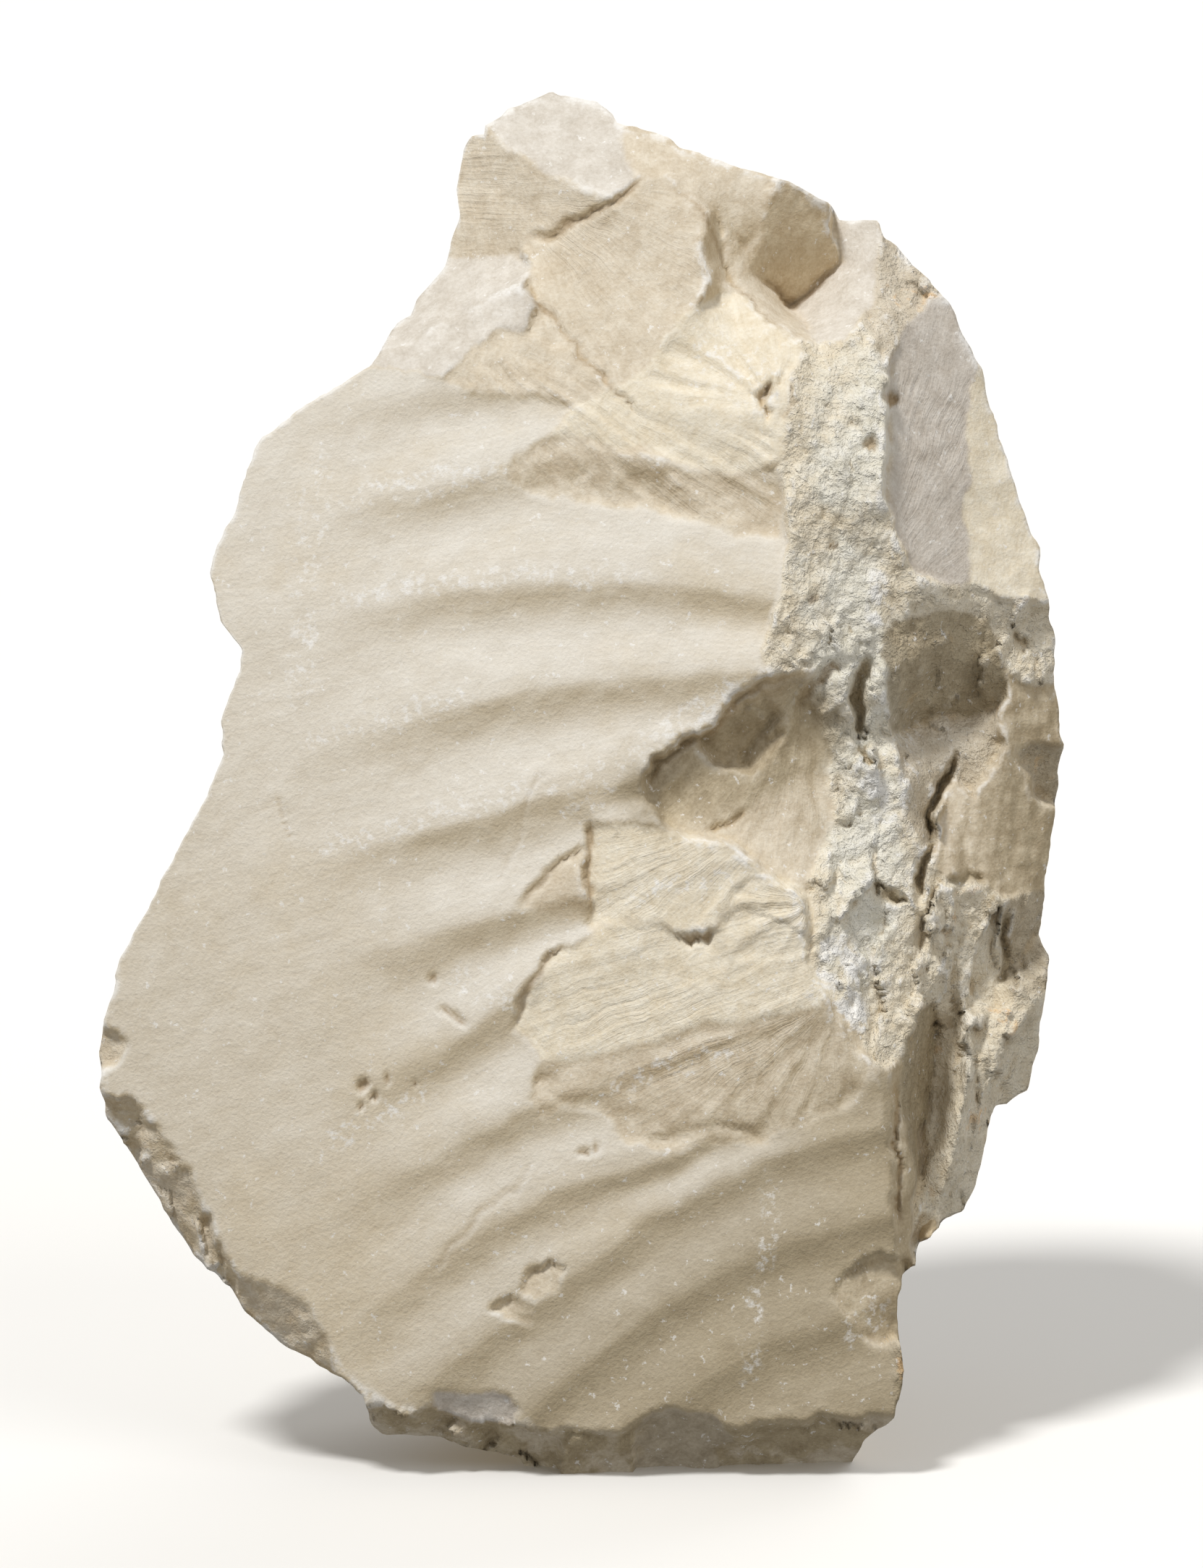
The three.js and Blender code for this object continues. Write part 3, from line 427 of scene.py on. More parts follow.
FACETS: dict[str, Facet] = {
    "cap": Facet(((-14.3, 184.8, 8.5), (-10, 188.5, 6), (-4, 191, 4.5), (4, 190, 5), (4.8, 185, 9.5),
        (7, 178.6, 14.5), (7.7, 176.3, 16.5), (4.5, 173.5, 18.2), (0, 174.8, 17.4), (-5, 177, 15),
        (-10.5, 180.5, 12)), (Zone.PALE,)),
    "left_facet": Facet(((-20, 186, 5), (-14.3, 184.8, 8.5), (-10.5, 180.5, 12), (-5, 177, 15),
        (0, 174.8, 17.4), (4.5, 173.5, 18.2), (3, 172.3, 18.2), (-4, 169.4, 16.2), (-8, 167.5, 14.6),
        (-9, 166, 13.8), (-21, 166, 8))),
    "upper_band": Facet(((-21, 166, 8), (-9, 166, 13.8), (-8, 164.3, 16.5), (-17, 161.2, 14.5),
        (-27, 158, 12)), (Zone.PALE,)),
    "lower_band": Facet(((-27, 158, 12), (-17, 161.2, 14.5), (-8, 164.3, 16.5), (-8, 162.5, 20.4),
        (-16, 158, 19.8), (-22, 154.5, 21.4), (-29, 150.3, 24), (-34, 152, 17)), (Zone.PALE,)),
    "ledge": Facet(((-29, 150.3, 24), (-22, 154.5, 21.4), (-16, 158, 19.8), (-8, 162.5, 20.4),
        (-6.3, 160, 21.2), (-7, 155, 22.8), (-11.5, 155.3, 22.6), (-13.5, 153.6, 23.6),
        (-17, 151.6, 24.1), (-18.5, 149.6, 24.6)), (Zone.PALE,)),
    "under_ledge": Facet(((-18.7, 149.2, 24.5), (-17, 151.6, 23.8), (-13.5, 153.6, 23),
        (-11.5, 155.3, 22), (-7, 155, 22.3), (0, 152.5, 22.8), (4, 147, 24.7), (0, 145, 25.2),
        (-7, 147, 25), (-14, 146.8, 25))),
    "right_slope": Facet(((7.7, 176.3, 16.5), (7, 178.6, 14.5), (4.8, 185, 9.5), (4.6, 187, 8),
        (11, 187, 6.5), (28, 179.5, 11), (25.4, 174.5, 12.5), (24, 168.3, 11.5), (23, 164.7, 11),
        (17.3, 170.7, 14.5), (13, 174.2, 16.5), (11, 176.6, 15.5))),
    "lens": Facet(((17.3, 170.7, 14.5), (23, 164.7, 11), (28.5, 160.3, 3.5), (32, 153.3, 19),
        (29, 153.5, 21.5), (24, 157.5, 18.5), (20.5, 160.5, 16), (19.2, 163, 14.2), (18.2, 166.8, 14))),
    "notch_roof": Facet(((25.4, 174.5, 12.5), (28, 179.5, 12.5), (34.6, 175, 9.5), (34.8, 168.2, 6.5),
        (36, 165.6, 4.5), (28.5, 160.3, 3), (23, 164.7, 11), (24, 168.3, 11.5))),
    "notch_floor": Facet(((28.5, 160.3, 3), (36, 165.6, 4.5), (34.8, 168.2, 4), (34.8, 174, 2),
        (41, 174, 5), (39.8, 163, 10), (38.7, 158, 14), (36, 154, 20), (32, 153.3, 19)), (Zone.PALE,)),
    "flake": Facet(((-8, 167.5, 14.4), (-4, 169.4, 15.8), (3, 172.3, 17.8), (7.7, 176.3, 16.5),
        (11, 176.6, 15.5), (13, 174.2, 16.5), (16.6, 170.3, 17.8), (15.6, 166, 19.4), (16.8, 162, 20.3),
        (15.2, 158.3, 21.3), (13.3, 157, 22.3), (9, 151, 23.8), (7.5, 149, 24.2), (4, 147, 24.6),
        (0, 152.5, 22.4), (-7, 155, 21.6), (-6.3, 160, 19.6), (-8, 162.5, 18.4), (-8, 164.3, 16.5))),
    "slot_wall": Facet(((16.6, 170.3, 17.8), (17.3, 170.7, 14.5), (18.2, 166.8, 14), (19.2, 163, 14.2),
        (20.5, 160.5, 16), (17.8, 160, 17), (15.2, 158.3, 21.3), (16.8, 162, 20.3), (15.6, 166, 19.4))),
    "bright_fan": Facet(((13.3, 157, 22.3), (15.2, 158.3, 21.3), (17.8, 160, 17), (20.5, 160.5, 16),
        (24, 157.5, 18.5), (29, 153.5, 21.5), (28.5, 148, 25.5), (24.5, 144, 26.2), (18, 144, 25.9),
        (14.5, 143.5, 25.7), (7.5, 149, 24.2), (9, 151, 23.8)), (Zone.FRESH_AND_PAINTED_LIGHT,)),
    "hackle_scar": Facet(((-3, 144, 25.8), (0, 145, 25.3), (4, 147, 24.8), (7.5, 149, 24.2),
        (14.5, 143.5, 25.7), (18, 144, 25.9), (24.5, 144, 26.2), (28.5, 148, 25.5), (27, 138, 27),
        (20, 136.3, 26), (10, 139, 25.9), (0, 140.3, 25.9), (-4.5, 141, 26)), (Zone.FRESH_AND_PAINTED_LIGHT,)),
    "seam": Facet(((32, 153.3, 19), (36, 154, 20), (38.7, 158, 16), (40.5, 150.5, 21), (40.3, 140, 23.6),
        (39.8, 133, 24.6), (42.5, 127.5, 22.6), (45, 121.5, 19.5), (43.5, 117.5, 20), (42, 115.5, 20.5),
        (39.8, 111, 23), (37, 113, 24), (31, 109.5, 26.5), (26, 108.7, 28), (24, 112.5, 28.6),
        (27, 121.5, 28.6), (28, 127, 28.4), (27, 138, 27.2), (28.5, 148, 25.5), (29, 153.5, 21.5)),
        (Zone.CRUMB,)),
    "shoulder": Facet(((41, 174, 5), (45, 169, 3), (51, 161, 6), (47, 160.5, 9), (43.5, 155.5, 13.5),
        (40.5, 150.5, 19), (38.7, 158, 14), (39.8, 163, 10)), (Zone.FLANK, Zone.SPLINTER)),
    "grey_facet": Facet(((51, 161, 6), (47, 160.5, 9), (43.5, 155.5, 13.5), (41.2, 150.5, 16),
        (41.2, 140, 18.6), (40.6, 133, 20.6), (43, 127.5, 19.8), (45, 121.5, 18.8), (53, 120.5, 13.5),
        (52.3, 130, 11.5), (53, 137, 10), (54, 153, 6)), (Zone.GREY,)),
    # The newest-break colour here is painted light on a facet that faces away from the light
    "outer_right": Facet(((51, 161, 6), (54, 153, 6), (53, 137, 10), (52.3, 130, 11.5), (53, 120.5, 13.5),
        (57, 119.5, 11.5), (67, 118.5, 5), (65, 127, 4), (62, 134, 4.5), (58, 147, 3.5), (55, 156, 3)),
        (Zone.FRESH_AND_PAINTED_LIGHT,)),
    "lip": Facet(((45, 121.5, 19.5), (53, 120.5, 13.5), (57, 119.5, 11.5), (67, 118.5, 5), (66, 115, 3),
        (56, 116, 10), (50, 117.5, 14.5), (45, 116.5, 18), (42, 115.5, 20.5), (43.5, 117.5, 20)),
        (Zone.FLANK, Zone.CRUMB)),
    # The hollow zone gives the hollow's roof painted shade
    "hollow_roof": Facet(((42, 115.5, 20.5), (45, 116.5, 18), (50, 117.5, 14.5), (56, 116, 10),
        (58, 110, 7.5), (57.5, 104, 6), (53, 103.5, 4.5), (48.5, 102.5, 5.5), (44, 101.5, 8),
        (41.5, 100.5, 16), (40.3, 106, 21), (39.8, 111, 23)), (Zone.FLANK, Zone.SPLINTER, Zone.HOLLOW)),
    "hollow_floor": Facet(((41.5, 100.5, 16), (44, 101.5, 8), (48.5, 102.5, 5.5), (53, 103.5, 4.5),
        (57.5, 104, 6), (57, 97, 6), (53, 92, 7.8), (50.3, 94.8, 8), (46.5, 87, 14.5), (45, 85, 17.5),
        (43.5, 91, 18.5), (42, 97, 19)), (Zone.FLANK,)),
    "plate": Facet(((57.5, 104, 7.5), (57, 97, 8), (53, 92, 9.6), (50.3, 94.8, 9.8), (49.5, 90, 11.6),
        (46.5, 83.5, 16), (50, 80, 14), (54, 79.5, 11.5), (58, 78, 8), (62.5, 79, 2), (65, 80, -1),
        (67, 92, 0), (68, 100, 0), (66.5, 108, 1), (60, 108, 6), (58, 110, 7.5)), (Zone.SPLINTER,)),
    "upper_rim": Facet(((58, 110, 7.5), (56, 116, 10), (66, 115, 3), (66.5, 108, 1), (60, 108, 6)),
        (Zone.FLANK, Zone.CRUMB)),
    "rough_low": Facet(((46.5, 83.5, 16), (50, 80, 14), (54, 79.5, 11.5), (58, 78, 8), (57.5, 69, 4.5),
        (57, 66.5, 6), (57, 60, 7), (55, 62, 9), (52, 61, 13), (48.3, 60.5, 8), (47, 63.5, 13),
        (45, 66, 18), (45.2, 75, 18.5)), (Zone.FLANK, Zone.CRUMB)),
    "steep_right": Facet(((58, 78, 8), (62.5, 79, 2), (65, 80, -1), (64, 73, -3), (62, 72.5, -1.5),
        (60.5, 69, 1), (57.5, 69, 4.5)), (Zone.FLANK,)),
    "block_top": Facet(((57, 66.5, 6), (57.5, 69, 4.5), (60.5, 69, 1), (62, 72.5, -1.5), (64, 73, -3),
        (66, 70, -2.5), (65, 66, 1), (62, 64.5, 6), (58.5, 66, 8)), (Zone.FLANK,)),
    # The newest-break colour on block_face and low_knob is painted light on faces turned from the light
    "block_face": Facet(((57, 66.5, 6), (58.5, 66, 8), (62, 64.5, 6), (58, 59, 8), (57, 60, 7)),
        (Zone.FLANK, Zone.FRESH_AND_PAINTED_LIGHT)),
    "low_knob": Facet(((58, 59, 8), (62, 64.5, 6), (65, 66, 1), (66, 60, -2), (63, 49, -1), (57.5, 49, 2),
        (57, 54, 5), (57, 60, 7)), (Zone.FLANK, Zone.FRESH_AND_PAINTED_LIGHT)),
    # The hollow zone gives the cleft painted shade
    "cleft": Facet(((44.5, 62, 21), (42.5, 57, 22.5), (42, 50, 23), (43.8, 46, 22), (44.6, 38, 20),
        (44, 30, 18.5), (44.8, 29.5, 15), (45.6, 37, 11.5), (46, 42, 9), (47.3, 50, 6.5),
        (48.3, 60.5, 6.5), (47, 63.5, 13)), (Zone.FLANK, Zone.HOLLOW)),
    # The newest-break colour on blade, blade_outer and rib_right is painted light on faces turned from the
    # light
    "blade": Facet(((48.3, 60.5, 7), (47.3, 50, 7), (46, 42, 9.5), (45.6, 37, 12), (44.8, 29.5, 15),
        (46, 31, 12), (48.5, 35, 10.5), (49.5, 40, 13), (51, 46, 14), (52.5, 54, 14), (52, 61, 13)),
        (Zone.FLANK, Zone.SPLINTER, Zone.FRESH_AND_PAINTED_LIGHT)),
    "blade_outer": Facet(((49.5, 40, 13), (48.5, 35, 10.5), (50, 31, 5), (55.5, 34, 3), (56.5, 45, 3),
        (51, 46, 14)), (Zone.FLANK, Zone.SPLINTER, Zone.FRESH_AND_PAINTED_LIGHT)),
    "rib_right": Facet(((52, 61, 13), (52.5, 54, 14), (51, 46, 14), (56.5, 45, 3), (57.5, 49, 2),
        (57, 54, 5), (57, 60, 7), (55, 62, 9)), (Zone.FLANK, Zone.SPLINTER, Zone.FRESH_AND_PAINTED_LIGHT)),
    "low_edge": Facet(((43, 26.5, 21), (41.5, 40, 24), (41.5, 50, 24.5), (42, 57, 23.5), (42.5, 57, 22.5),
        (42, 50, 23), (43.8, 46, 22), (44.6, 38, 20), (44, 30, 18.5), (44.3, 26, 18)), (Zone.SPLINTER,)),
    "seam_low": Facet(((31, 109.5, 26.5), (37, 113, 24), (39.8, 111, 23), (40.3, 106, 21.5),
        (41.5, 100.5, 17), (42, 97, 19), (43.5, 91, 18.5), (45, 85, 17.5), (46.5, 83.5, 16),
        (45.2, 75, 18.5), (45, 66, 18), (44.5, 62, 21), (42.5, 57, 22.5), (40, 56, 25.8), (36, 58, 27.2),
        (33, 64, 27.8), (30, 70, 27.9), (29, 79, 26.6), (33, 88, 21.5), (33, 98, 19.5), (30, 104, 22)),
        (Zone.CRUMB,)),
    "terrace": Facet(((26, 108.5, 26.3), (21, 105.3, 26.2), (15, 100.1, 26.2), (10, 96.5, 26.2),
        (8.5, 94.5, 26.4), (8.3, 91, 27.2), (11, 88, 27.2), (14, 86.5, 26.8), (19, 86, 26.4),
        (24, 83.5, 26.4), (29, 79, 26.6), (33, 88, 21.5), (33, 98, 19.5), (30, 104, 22),
        (31, 109.5, 26.5))),
}

# The hollow zone gives the pocket and the chips along the foot painted shade
SCARS: dict[str, Scar] = {
    "rim_facet": Scar(((58.5, 100.5), (62.5, 99.5), (69, 97), (68, 90), (62.5, 91.2), (60.5, 95.5)),
        (61, 97), 3.5, (-0.9, 1.0), zones=(Zone.FLANK,)),
    "pocket": Scar(((15.5, 100.2), (24.5, 106.3), (26.5, 100.5), (22, 95.5), (18.5, 96.5)), (21, 98),
        21.6, (-0.1, 0.2), (0.03, 0.06), 1.6, (Zone.HOLLOW,)),
    "oval_chip": Scar(((-21, 12), (-18, 13.3), (-14, 13), (-9, 9), (-10, 7), (-17, 6), (-20.5, 8.5)),
        (-15, 13), 22, (0.02, 0.6), (0.02, 0.03), zones=(Zone.GREY,)),
    "heel_chip": Scar(((-32, 9.5), (-26, 9.3), (-20, 8.6), (-16.5, 6.4), (-9, 7.2), (-4, 5.5), (-4, -9),
        (-32, -7)), (-20, 7.5), 19.4, (0.25, 1.6), zones=(Zone.EDGE, Zone.HOLLOW)),
    "foot_chip": Scar(((-10, 7.4), (-4, 5.6), (0, 7), (4, 5.5), (7.5, 7), (8, -9), (-10, -9)), (0, 6.4),
        20.6, (-0.1, 0.9), zones=(Zone.EDGE, Zone.HOLLOW)),
    "grey_chip": Scar(((6.5, 5.5), (8, 7.3), (11, 9), (14, 9.4), (18.5, 8), (20.5, 5), (19, -9), (6, -9)),
        (13, 9), 20.8, (0.04, 1.25), (0.03, 0.02), zones=(Zone.GREY, Zone.HOLLOW)),
    "dark_chip": Scar(((18, 7.4), (21, 6.6), (26, 7.2), (30, 6.6), (34, 7.4), (38, 7.8), (45, 6.5),
        (42, -9), (18, -9)), (28, 6.4), 18.9, (-0.05, 1.7), zones=(Zone.EDGE, Zone.HOLLOW)),
    "left_nick": Scar(((-67, 61), (-63.5, 60), (-62, 58), (-63.5, 55.8), (-67, 55)), (-64, 57.5), 24,
        (0.5, 0), (0, 0.12), zones=(Zone.EDGE,)),
}

DENTS: dict[str, Dent] = {
    "tongue": Dent(((-12, 136.5, 0.1), (-5, 140.4, 0.4), (3, 140, 0.3), (10, 139.2, 0.2), (8, 136.5, 0.1),
        (2, 133.4, 0.2), (8, 130.8, 0.2), (3, 131.8, 0.4), (-6, 132.6, 0.5)), 1.8),
    "tongue_lower": Dent(((1, 133, 0.2), (9, 137.2, 0.4), (24, 135.7, 0.3), (27, 133, 0.5),
        (26, 128, 0.6), (20, 128.2, 0.6), (9, 130.8, 0.5)), 1.8),
    "upper_flake": Dent(((0.3, 88.5, 0.5), (7, 88, 0.4), (12, 87, 0.3), (18, 85.2, 0.3), (25, 82.3, 0.2),
        (21, 79, 0.3), (19, 77, 0.3), (17.5, 74.5, 0.2), (15, 72.4, 0.1), (13.5, 74, 0.2), (9, 75.2, 0.2),
        (0.3, 75, 0.9), (0, 80, 1.6)), zones=(Zone.FRESH_AND_PAINTED_LIGHT,)),
    "side_flake": Dent(((-9.2, 76.8, 0.3), (-6, 80.5, 0.6), (-2.5, 84.7, 0.6), (-0.3, 85.8, 0.5),
        (0, 81, 0.2), (0, 76, 0.1), (-4, 75.8, 0.1))),
    "lined_flake": Dent(((-9.5, 61, 0.4), (-8.2, 64.5, 0.7), (-6, 66.5, 0.6), (-5, 69.8, 0.7),
        (-2, 71.5, 0.5), (1, 74.8, 0.3), (9, 75, 0.4), (13.5, 73.8, 1.3), (15, 72.3, 1.5),
        (18, 74.5, 0.8), (20, 77, 0.3), (25, 76, 0.4), (29, 74, 0.2), (31, 69, 0.1), (33.5, 64.5, 0),
        (25, 62, 0.2), (16, 61, 0.2), (8, 58.5, 0.2), (-1, 56.5, 0.2), (-6, 57, 0.3)),
        zones=(Zone.FRESH_AND_PAINTED_LIGHT,)),
    "small_fan": Dent(((18, 75.3, 0.5), (20, 79.5, 0.5), (26, 82.3, 0.4), (30, 79.5, 0.1), (31, 74, 0.1),
        (26, 70, 0.2), (20, 70.5, 0.3)), 0.8, (Zone.FRESH_AND_PAINTED_LIGHT,)),
    "lower_fan": Dent(((-6, 56.5, 0.3), (0, 57.3, 0.3), (8, 58.5, 0.4), (16, 61, 0.5), (25, 62.3, 0.4),
        (33.5, 64, 0.3), (37, 60, 0.2), (39, 55.5, 0.2), (37, 52, 0.3), (33, 49, 0.4), (26, 46.8, 0.3),
        (22, 45.3, 0.3), (16, 47.5, 0.4), (10.5, 45.8, 0.4), (6, 46, 0.4), (2, 49.5, 0.4), (-3, 51, 0.4),
        (-7.5, 53, 0.3))),
    "gouge": Dent(((5, 45.8, 0.2), (12, 46.8, 0.8), (19, 47.4, 0.8), (25, 45.6, 0.3), (20, 44.6, 0.2),
        (12, 44.2, 0.1))),
    "left_chip": Dent(((-68, 57, 2), (-64.6, 51.6, 0.3), (-61, 50.5, 0.4), (-59, 46.5, 0.6),
        (-60.5, 41, 3), (-66, 44, 7), (-70, 50, 8)), zones=(Zone.EDGE,)),
    "long_chip": Dent(((-60.5, 48, 1), (-57.6, 46.8, 0.3), (-54, 41.5, 0.4), (-52, 36.5, 0.4),
        (-49.6, 30.5, 0.5), (-47, 27.6, 0.5), (-50, 22, 6), (-58, 30, 8), (-64, 42, 7)),
        zones=(Zone.EDGE,)),
    "corner_chip": Dent(((-49, 28.5, 0.8), (-45.5, 26.6, 0.3), (-41.5, 25.4, 0.3), (-38, 22.8, 0.5),
        (-35.2, 18.5, 0.7), (-34.4, 15, 1), (-35, 10, 6), (-44, 15, 7), (-50, 22, 5)),
        zones=(Zone.EDGE,)),
    "tool_mark": Dent(((-12.5, 23, 1.3), (-10.5, 25.3, 0.9), (-6.8, 23, 0.1), (-8.5, 20.5, 0.2)), 0.6),
    "crater": Dent(((-9.5, 26, 0.6), (-7.5, 28.6, 1.4), (-3, 28, 0.9), (-4.2, 25.4, 0.2),
        (-7, 24.2, 0.3)), 0.6),
    "tile": Dent(((-7.6, 51.6, 0.4), (-6, 54.6, 0.5), (-2.5, 54.8, 0.2), (-3, 50.3, 0.1),
        (-5, 48.8, 0.2)), 0.6),
    "edge_chip": Dent(((33, 25, 0.4), (36, 28.5, 1.2), (40, 30.2, 1.6), (43.5, 29, 3), (44.5, 18, 3),
        (38, 18.5, 0.6))),
}

# Creases in the hollow zone are darkened with painted shade; the one with no depth is only a band of
# painted shade below the terrace's lip
CREASES: tuple[Crease, ...] = (
    Crease(((51.6, 99), (50.2, 94.8), (48.6, 91.5), (47.2, 88), (46.3, 84.5), (45.2, 81), (44.6, 77)), 5,
        0.9, Zone.HOLLOW),
    Crease(((35, 110.5), (31, 107), (28, 103.5)), 1.2, 0.8),
    Crease(((26, 108.3), (21, 105), (15, 99.9), (10, 96.3), (8.6, 93.5)), 1.2, 0.7),
    Crease(((25.5, 104), (22.5, 99.5), (20.2, 95.5)), 1.2, 0.8, Zone.HOLLOW),
    Crease(((2, 88), (9, 92), (16, 94), (23, 97), (30, 102), (36, 110)), 0, 11, Zone.HOLLOW),
    Crease(((39, 162), (37.5, 152), (36, 140), (34.5, 128), (34, 118), (36, 110), (38, 101), (38, 90),
        (38, 78), (36, 67), (34, 58)), 0, 9, Zone.SEAM),
    Crease(((16, 87), (19, 88.5), (22.5, 91.5)), 0.8, 0.8),
    Crease(((13, 74.3), (14.5, 72.6), (16, 72.6), (17, 74)), 1.0, 0.7),
    Crease(((57.5, 78), (57.6, 69), (57, 66)), 2.2, 1.0, Zone.HOLLOW),
    Crease(((50, 79.6), (52, 81.4), (54.5, 80.2)), 1.5, 1.0, Zone.HOLLOW),
    Crease(((42.2, 56), (41.7, 48), (42.4, 40), (42.8, 33)), 1.4, 0.6),
    Crease(((37.5, 112), (37.3, 106), (37.2, 99)), 5, 1.6, Zone.HOLLOW),
    Crease(((39, 80.3), (41, 79.2), (43, 77.5)), 2.5, 1.2, Zone.HOLLOW),
    Crease(((0, 90), (0.2, 84), (0, 75)), 0.8, 0.7),
    Crease(((-9, 77), (-7, 79.5), (-5, 82), (-3, 84), (0, 85.5)), 0.5, 0.7),
    Crease(((-10, 60), (-7.5, 65), (-5.5, 69), (-2, 72)), 0.6, 0.7),
    Crease(((-8.5, 167), (-4, 169.2), (3, 172.2), (7.2, 175.6), (9, 177)), 0.6, 0.7),
    Crease(((-8, 164.5), (-7, 160.5), (-3, 155.5), (1, 150.5), (5, 146.5), (8, 143)), 0.55, 0.6),
    Crease(((10, 176.6), (14, 173), (17, 168.5), (20, 162.5), (25, 157), (30, 152.5)), 0.5, 0.6),
    Crease(((26.5, 148.7), (24.3, 146.8), (23.8, 144.6), (25.2, 142.3)), 1.8, 0.9),
    Crease(((28, 148.7), (28.6, 146), (26.5, 142.3)), 0.5, 0.6),
    Crease(((23.5, 164.3), (28.5, 160.2), (35.5, 165)), 0.8, 0.7),
    Crease(((-7, 45), (-9, 40), (-14, 35), (-18, 31), (-23, 26)), 0.15, 0.4),
    Crease(((-12, 80), (-9, 88), (-5, 97)), 0.12, 0.35),
    Crease(((-20, 64), (-18, 63), (-16, 61.5)), 0.6, 0.7),
    Crease(((-42, 93), (-41.5, 89), (-40, 85)), 0.15, 0.4),
    Crease(((14, 154), (19, 151), (23, 148), (27, 145)), 0, 7, Zone.DUST),
    Crease(((25, 43), (24, 30), (22, 9)), 0, 2.2, Zone.DUST),
    Crease(((-35, 142), (-38, 120), (-39, 100)), 0, 3.4, Zone.DUST),
    Crease(((-37, 117), (-28, 120), (-10, 122), (14, 122)), 0, 2.6, Zone.DUST),
    Crease(((-40, 99), (-30, 102), (-12, 107)), 0, 2.8, Zone.DUST),
    Crease(((-40, 83), (-30, 87), (-12, 92), (2, 96)), 0, 2.8, Zone.DUST),
    Crease(((-36, 45), (-30, 47.5), (-18, 54)), 0, 2.5, Zone.DUST),
    Crease(((-36, 131), (-24, 134), (-8, 138)), 0, 3.2, Zone.DUST),
    Crease(((-4, 88), (2, 94), (8, 99), (16, 104), (24, 109)), 0, 3.4, Zone.DUST),
    Crease(((29, 68), (34, 65), (37, 59)), 0, 5.0, Zone.DUST),
    Crease(((31, 73), (36, 70), (39, 65)), 0, 4.5, Zone.DUST),
    Crease(((40, 124), (40, 119), (39, 114)), 0, 2.6, Zone.DUST),
    Crease(((38, 95), (40, 92), (41, 88)), 0, 3.0, Zone.DUST),
    Crease(((44, 106), (44, 96), (45, 89)), 0, 3.0, Zone.DUST),
    Crease(((34, 19), (38, 21), (42, 22)), 0, 3.4, Zone.DUST),
    Crease(((-20, 69), (-14, 66), (-8, 63)), 0, 3.5, Zone.DUST),
    Crease(((2, 52), (12, 56), (24, 58)), 0, 2.4, Zone.DUST),
    Crease(((4, 78), (12, 80), (22, 82)), 0, 2.4, Zone.DUST),
)

FANS: tuple[Fan, ...] = (
    Fan(FACETS["bright_fan"].corners, (26, 145), 1.4, 0.7),
    Fan(((-19, 149), (-7, 153), (4, 149), (14, 143), (26, 142), (27, 130), (20, 128), (0, 132),
        (-11, 137), (-4, 141), (-5, 144)), (-32, 168), 1.5, 0.6, 18),
    Fan(DENTS["small_fan"].corners, (30, 78), 1.3, 0.4),
    Fan(DENTS["lower_fan"].corners, (34, 65), 1.9, 0.3, 20),
    Fan(DENTS["lined_flake"].corners, (120, 108), 1.5, 0.2, 30),
    Fan(DENTS["upper_flake"].corners, (30, 92), 1.6, 0.2, 10),
    Fan(FACETS["grey_facet"].corners, (36, 112), 1.8, 0.1, 30),
    Fan(FACETS["left_facet"].corners, (140, 166), 1.6, 0.18, 40),
    Fan(FACETS["flake"].corners, (-12, 178), 2.4, 0.18, 30),
    Fan(FACETS["terrace"].corners, (30, 108), 2.2, 0.25, 9),
)

PITS: tuple[Pit, ...] = (
    Pit((-30, 53), 0.9, 0.8),
    Pit((-28.5, 51.5), 0.7, 0.7),
    Pit((-30.5, 50), 0.6, 0.6),
    Pit((-27, 54), 0.5, 0.4),
    Pit((-23, 53.6), 0.5, 0.4),
    Pit((0, 44), 0.7, 0.6),
    Pit((1.6, 44.6), 0.6, 0.5),
    Pit((-21, 68), 0.7, 0.4),
    Pit((38.5, 140), 1.1, 1.0),
    Pit((41.5, 146.5), 1.4, 1.4),
    Pit((34, 126), 0.7, 0.6),
    Pit((31, 119), 0.8, 0.7),
)

# Height of each kind of small relief in each zone; "broken" is any break that none of the others take
SMALL_RELIEF: dict[str, dict[str, float]] = {
    "flank": {"calm_coarse": 0.45, "calm_fine": 0.34, "lumps": 0.45, "crumbs": 0.08},
    "splinter": {"coarse": 0.1, "splinters": 0.55, "crumbs": 0.08},
    "crumb": {"coarse": 0.36, "fine": 0.4, "tiny": 0.3, "crumbs": 0.12, "lumps": 0.8},
    "hollow": {"lumps": 0.8, "coarse": 0.1, "crumbs": 0.06},
    "edge": {"coarse": 0.4, "fine": 0.25},
    "broken": {"fine": 0.08, "tiny": 0.05, "crumbs": 0.05, "lumps": 0.14},
    "scraped": {"crumbs": 0.02, "lumps": 0.12},
}

# Edge of the break in the middle of the face
MIDDLE_BREAK: Loop = (
    (0, 90.5), (8.5, 94.5), (15, 100), (26, 108.5), (36, 110), (42, 58), (42, 47), (33, 45.5), (22, 44.5),
    (10, 45.5), (2, 49), (-7, 53), (-9.5, 61), (-5, 70), (0, 75),
)

# Crests between the flutes: heights at these stations across the face, from the top down
ARRIS_STATIONS = (-60.0, -35.0, -20.0, -5.0, 10.0, 25.0, 45.0)
ARRISES: tuple[tuple[float, ...], ...] = (
    (140, 144.5, 148.5, 152, 153, 153, 153), (126, 130.5, 134.5, 138, 139, 139, 139),
    (112, 117, 119.7, 121.2, 121.2, 119, 115), (93, 99.5, 104, 107.2, 108.6, 109.5, 110),
    (79, 84.5, 88, 92.3, 95, 97, 99), (62, 69, 74, 78, 82, 85, 88), (43, 51.5, 57.7, 68, 72, 75, 78),
    (26, 35.5, 44, 51.5, 57, 62, 66), (4, 19, 30, 38.8, 43, 50, 56), (-14, 4, 14, 25.5, 36, 43.5, 49),
    (-30, -12, -2, 11, 23.5, 31.5, 36.5), (-44, -26, -16, -3, 9, 18.3, 25.5),
    (-58, -40, -31, -19, -6, 4, 11),
)


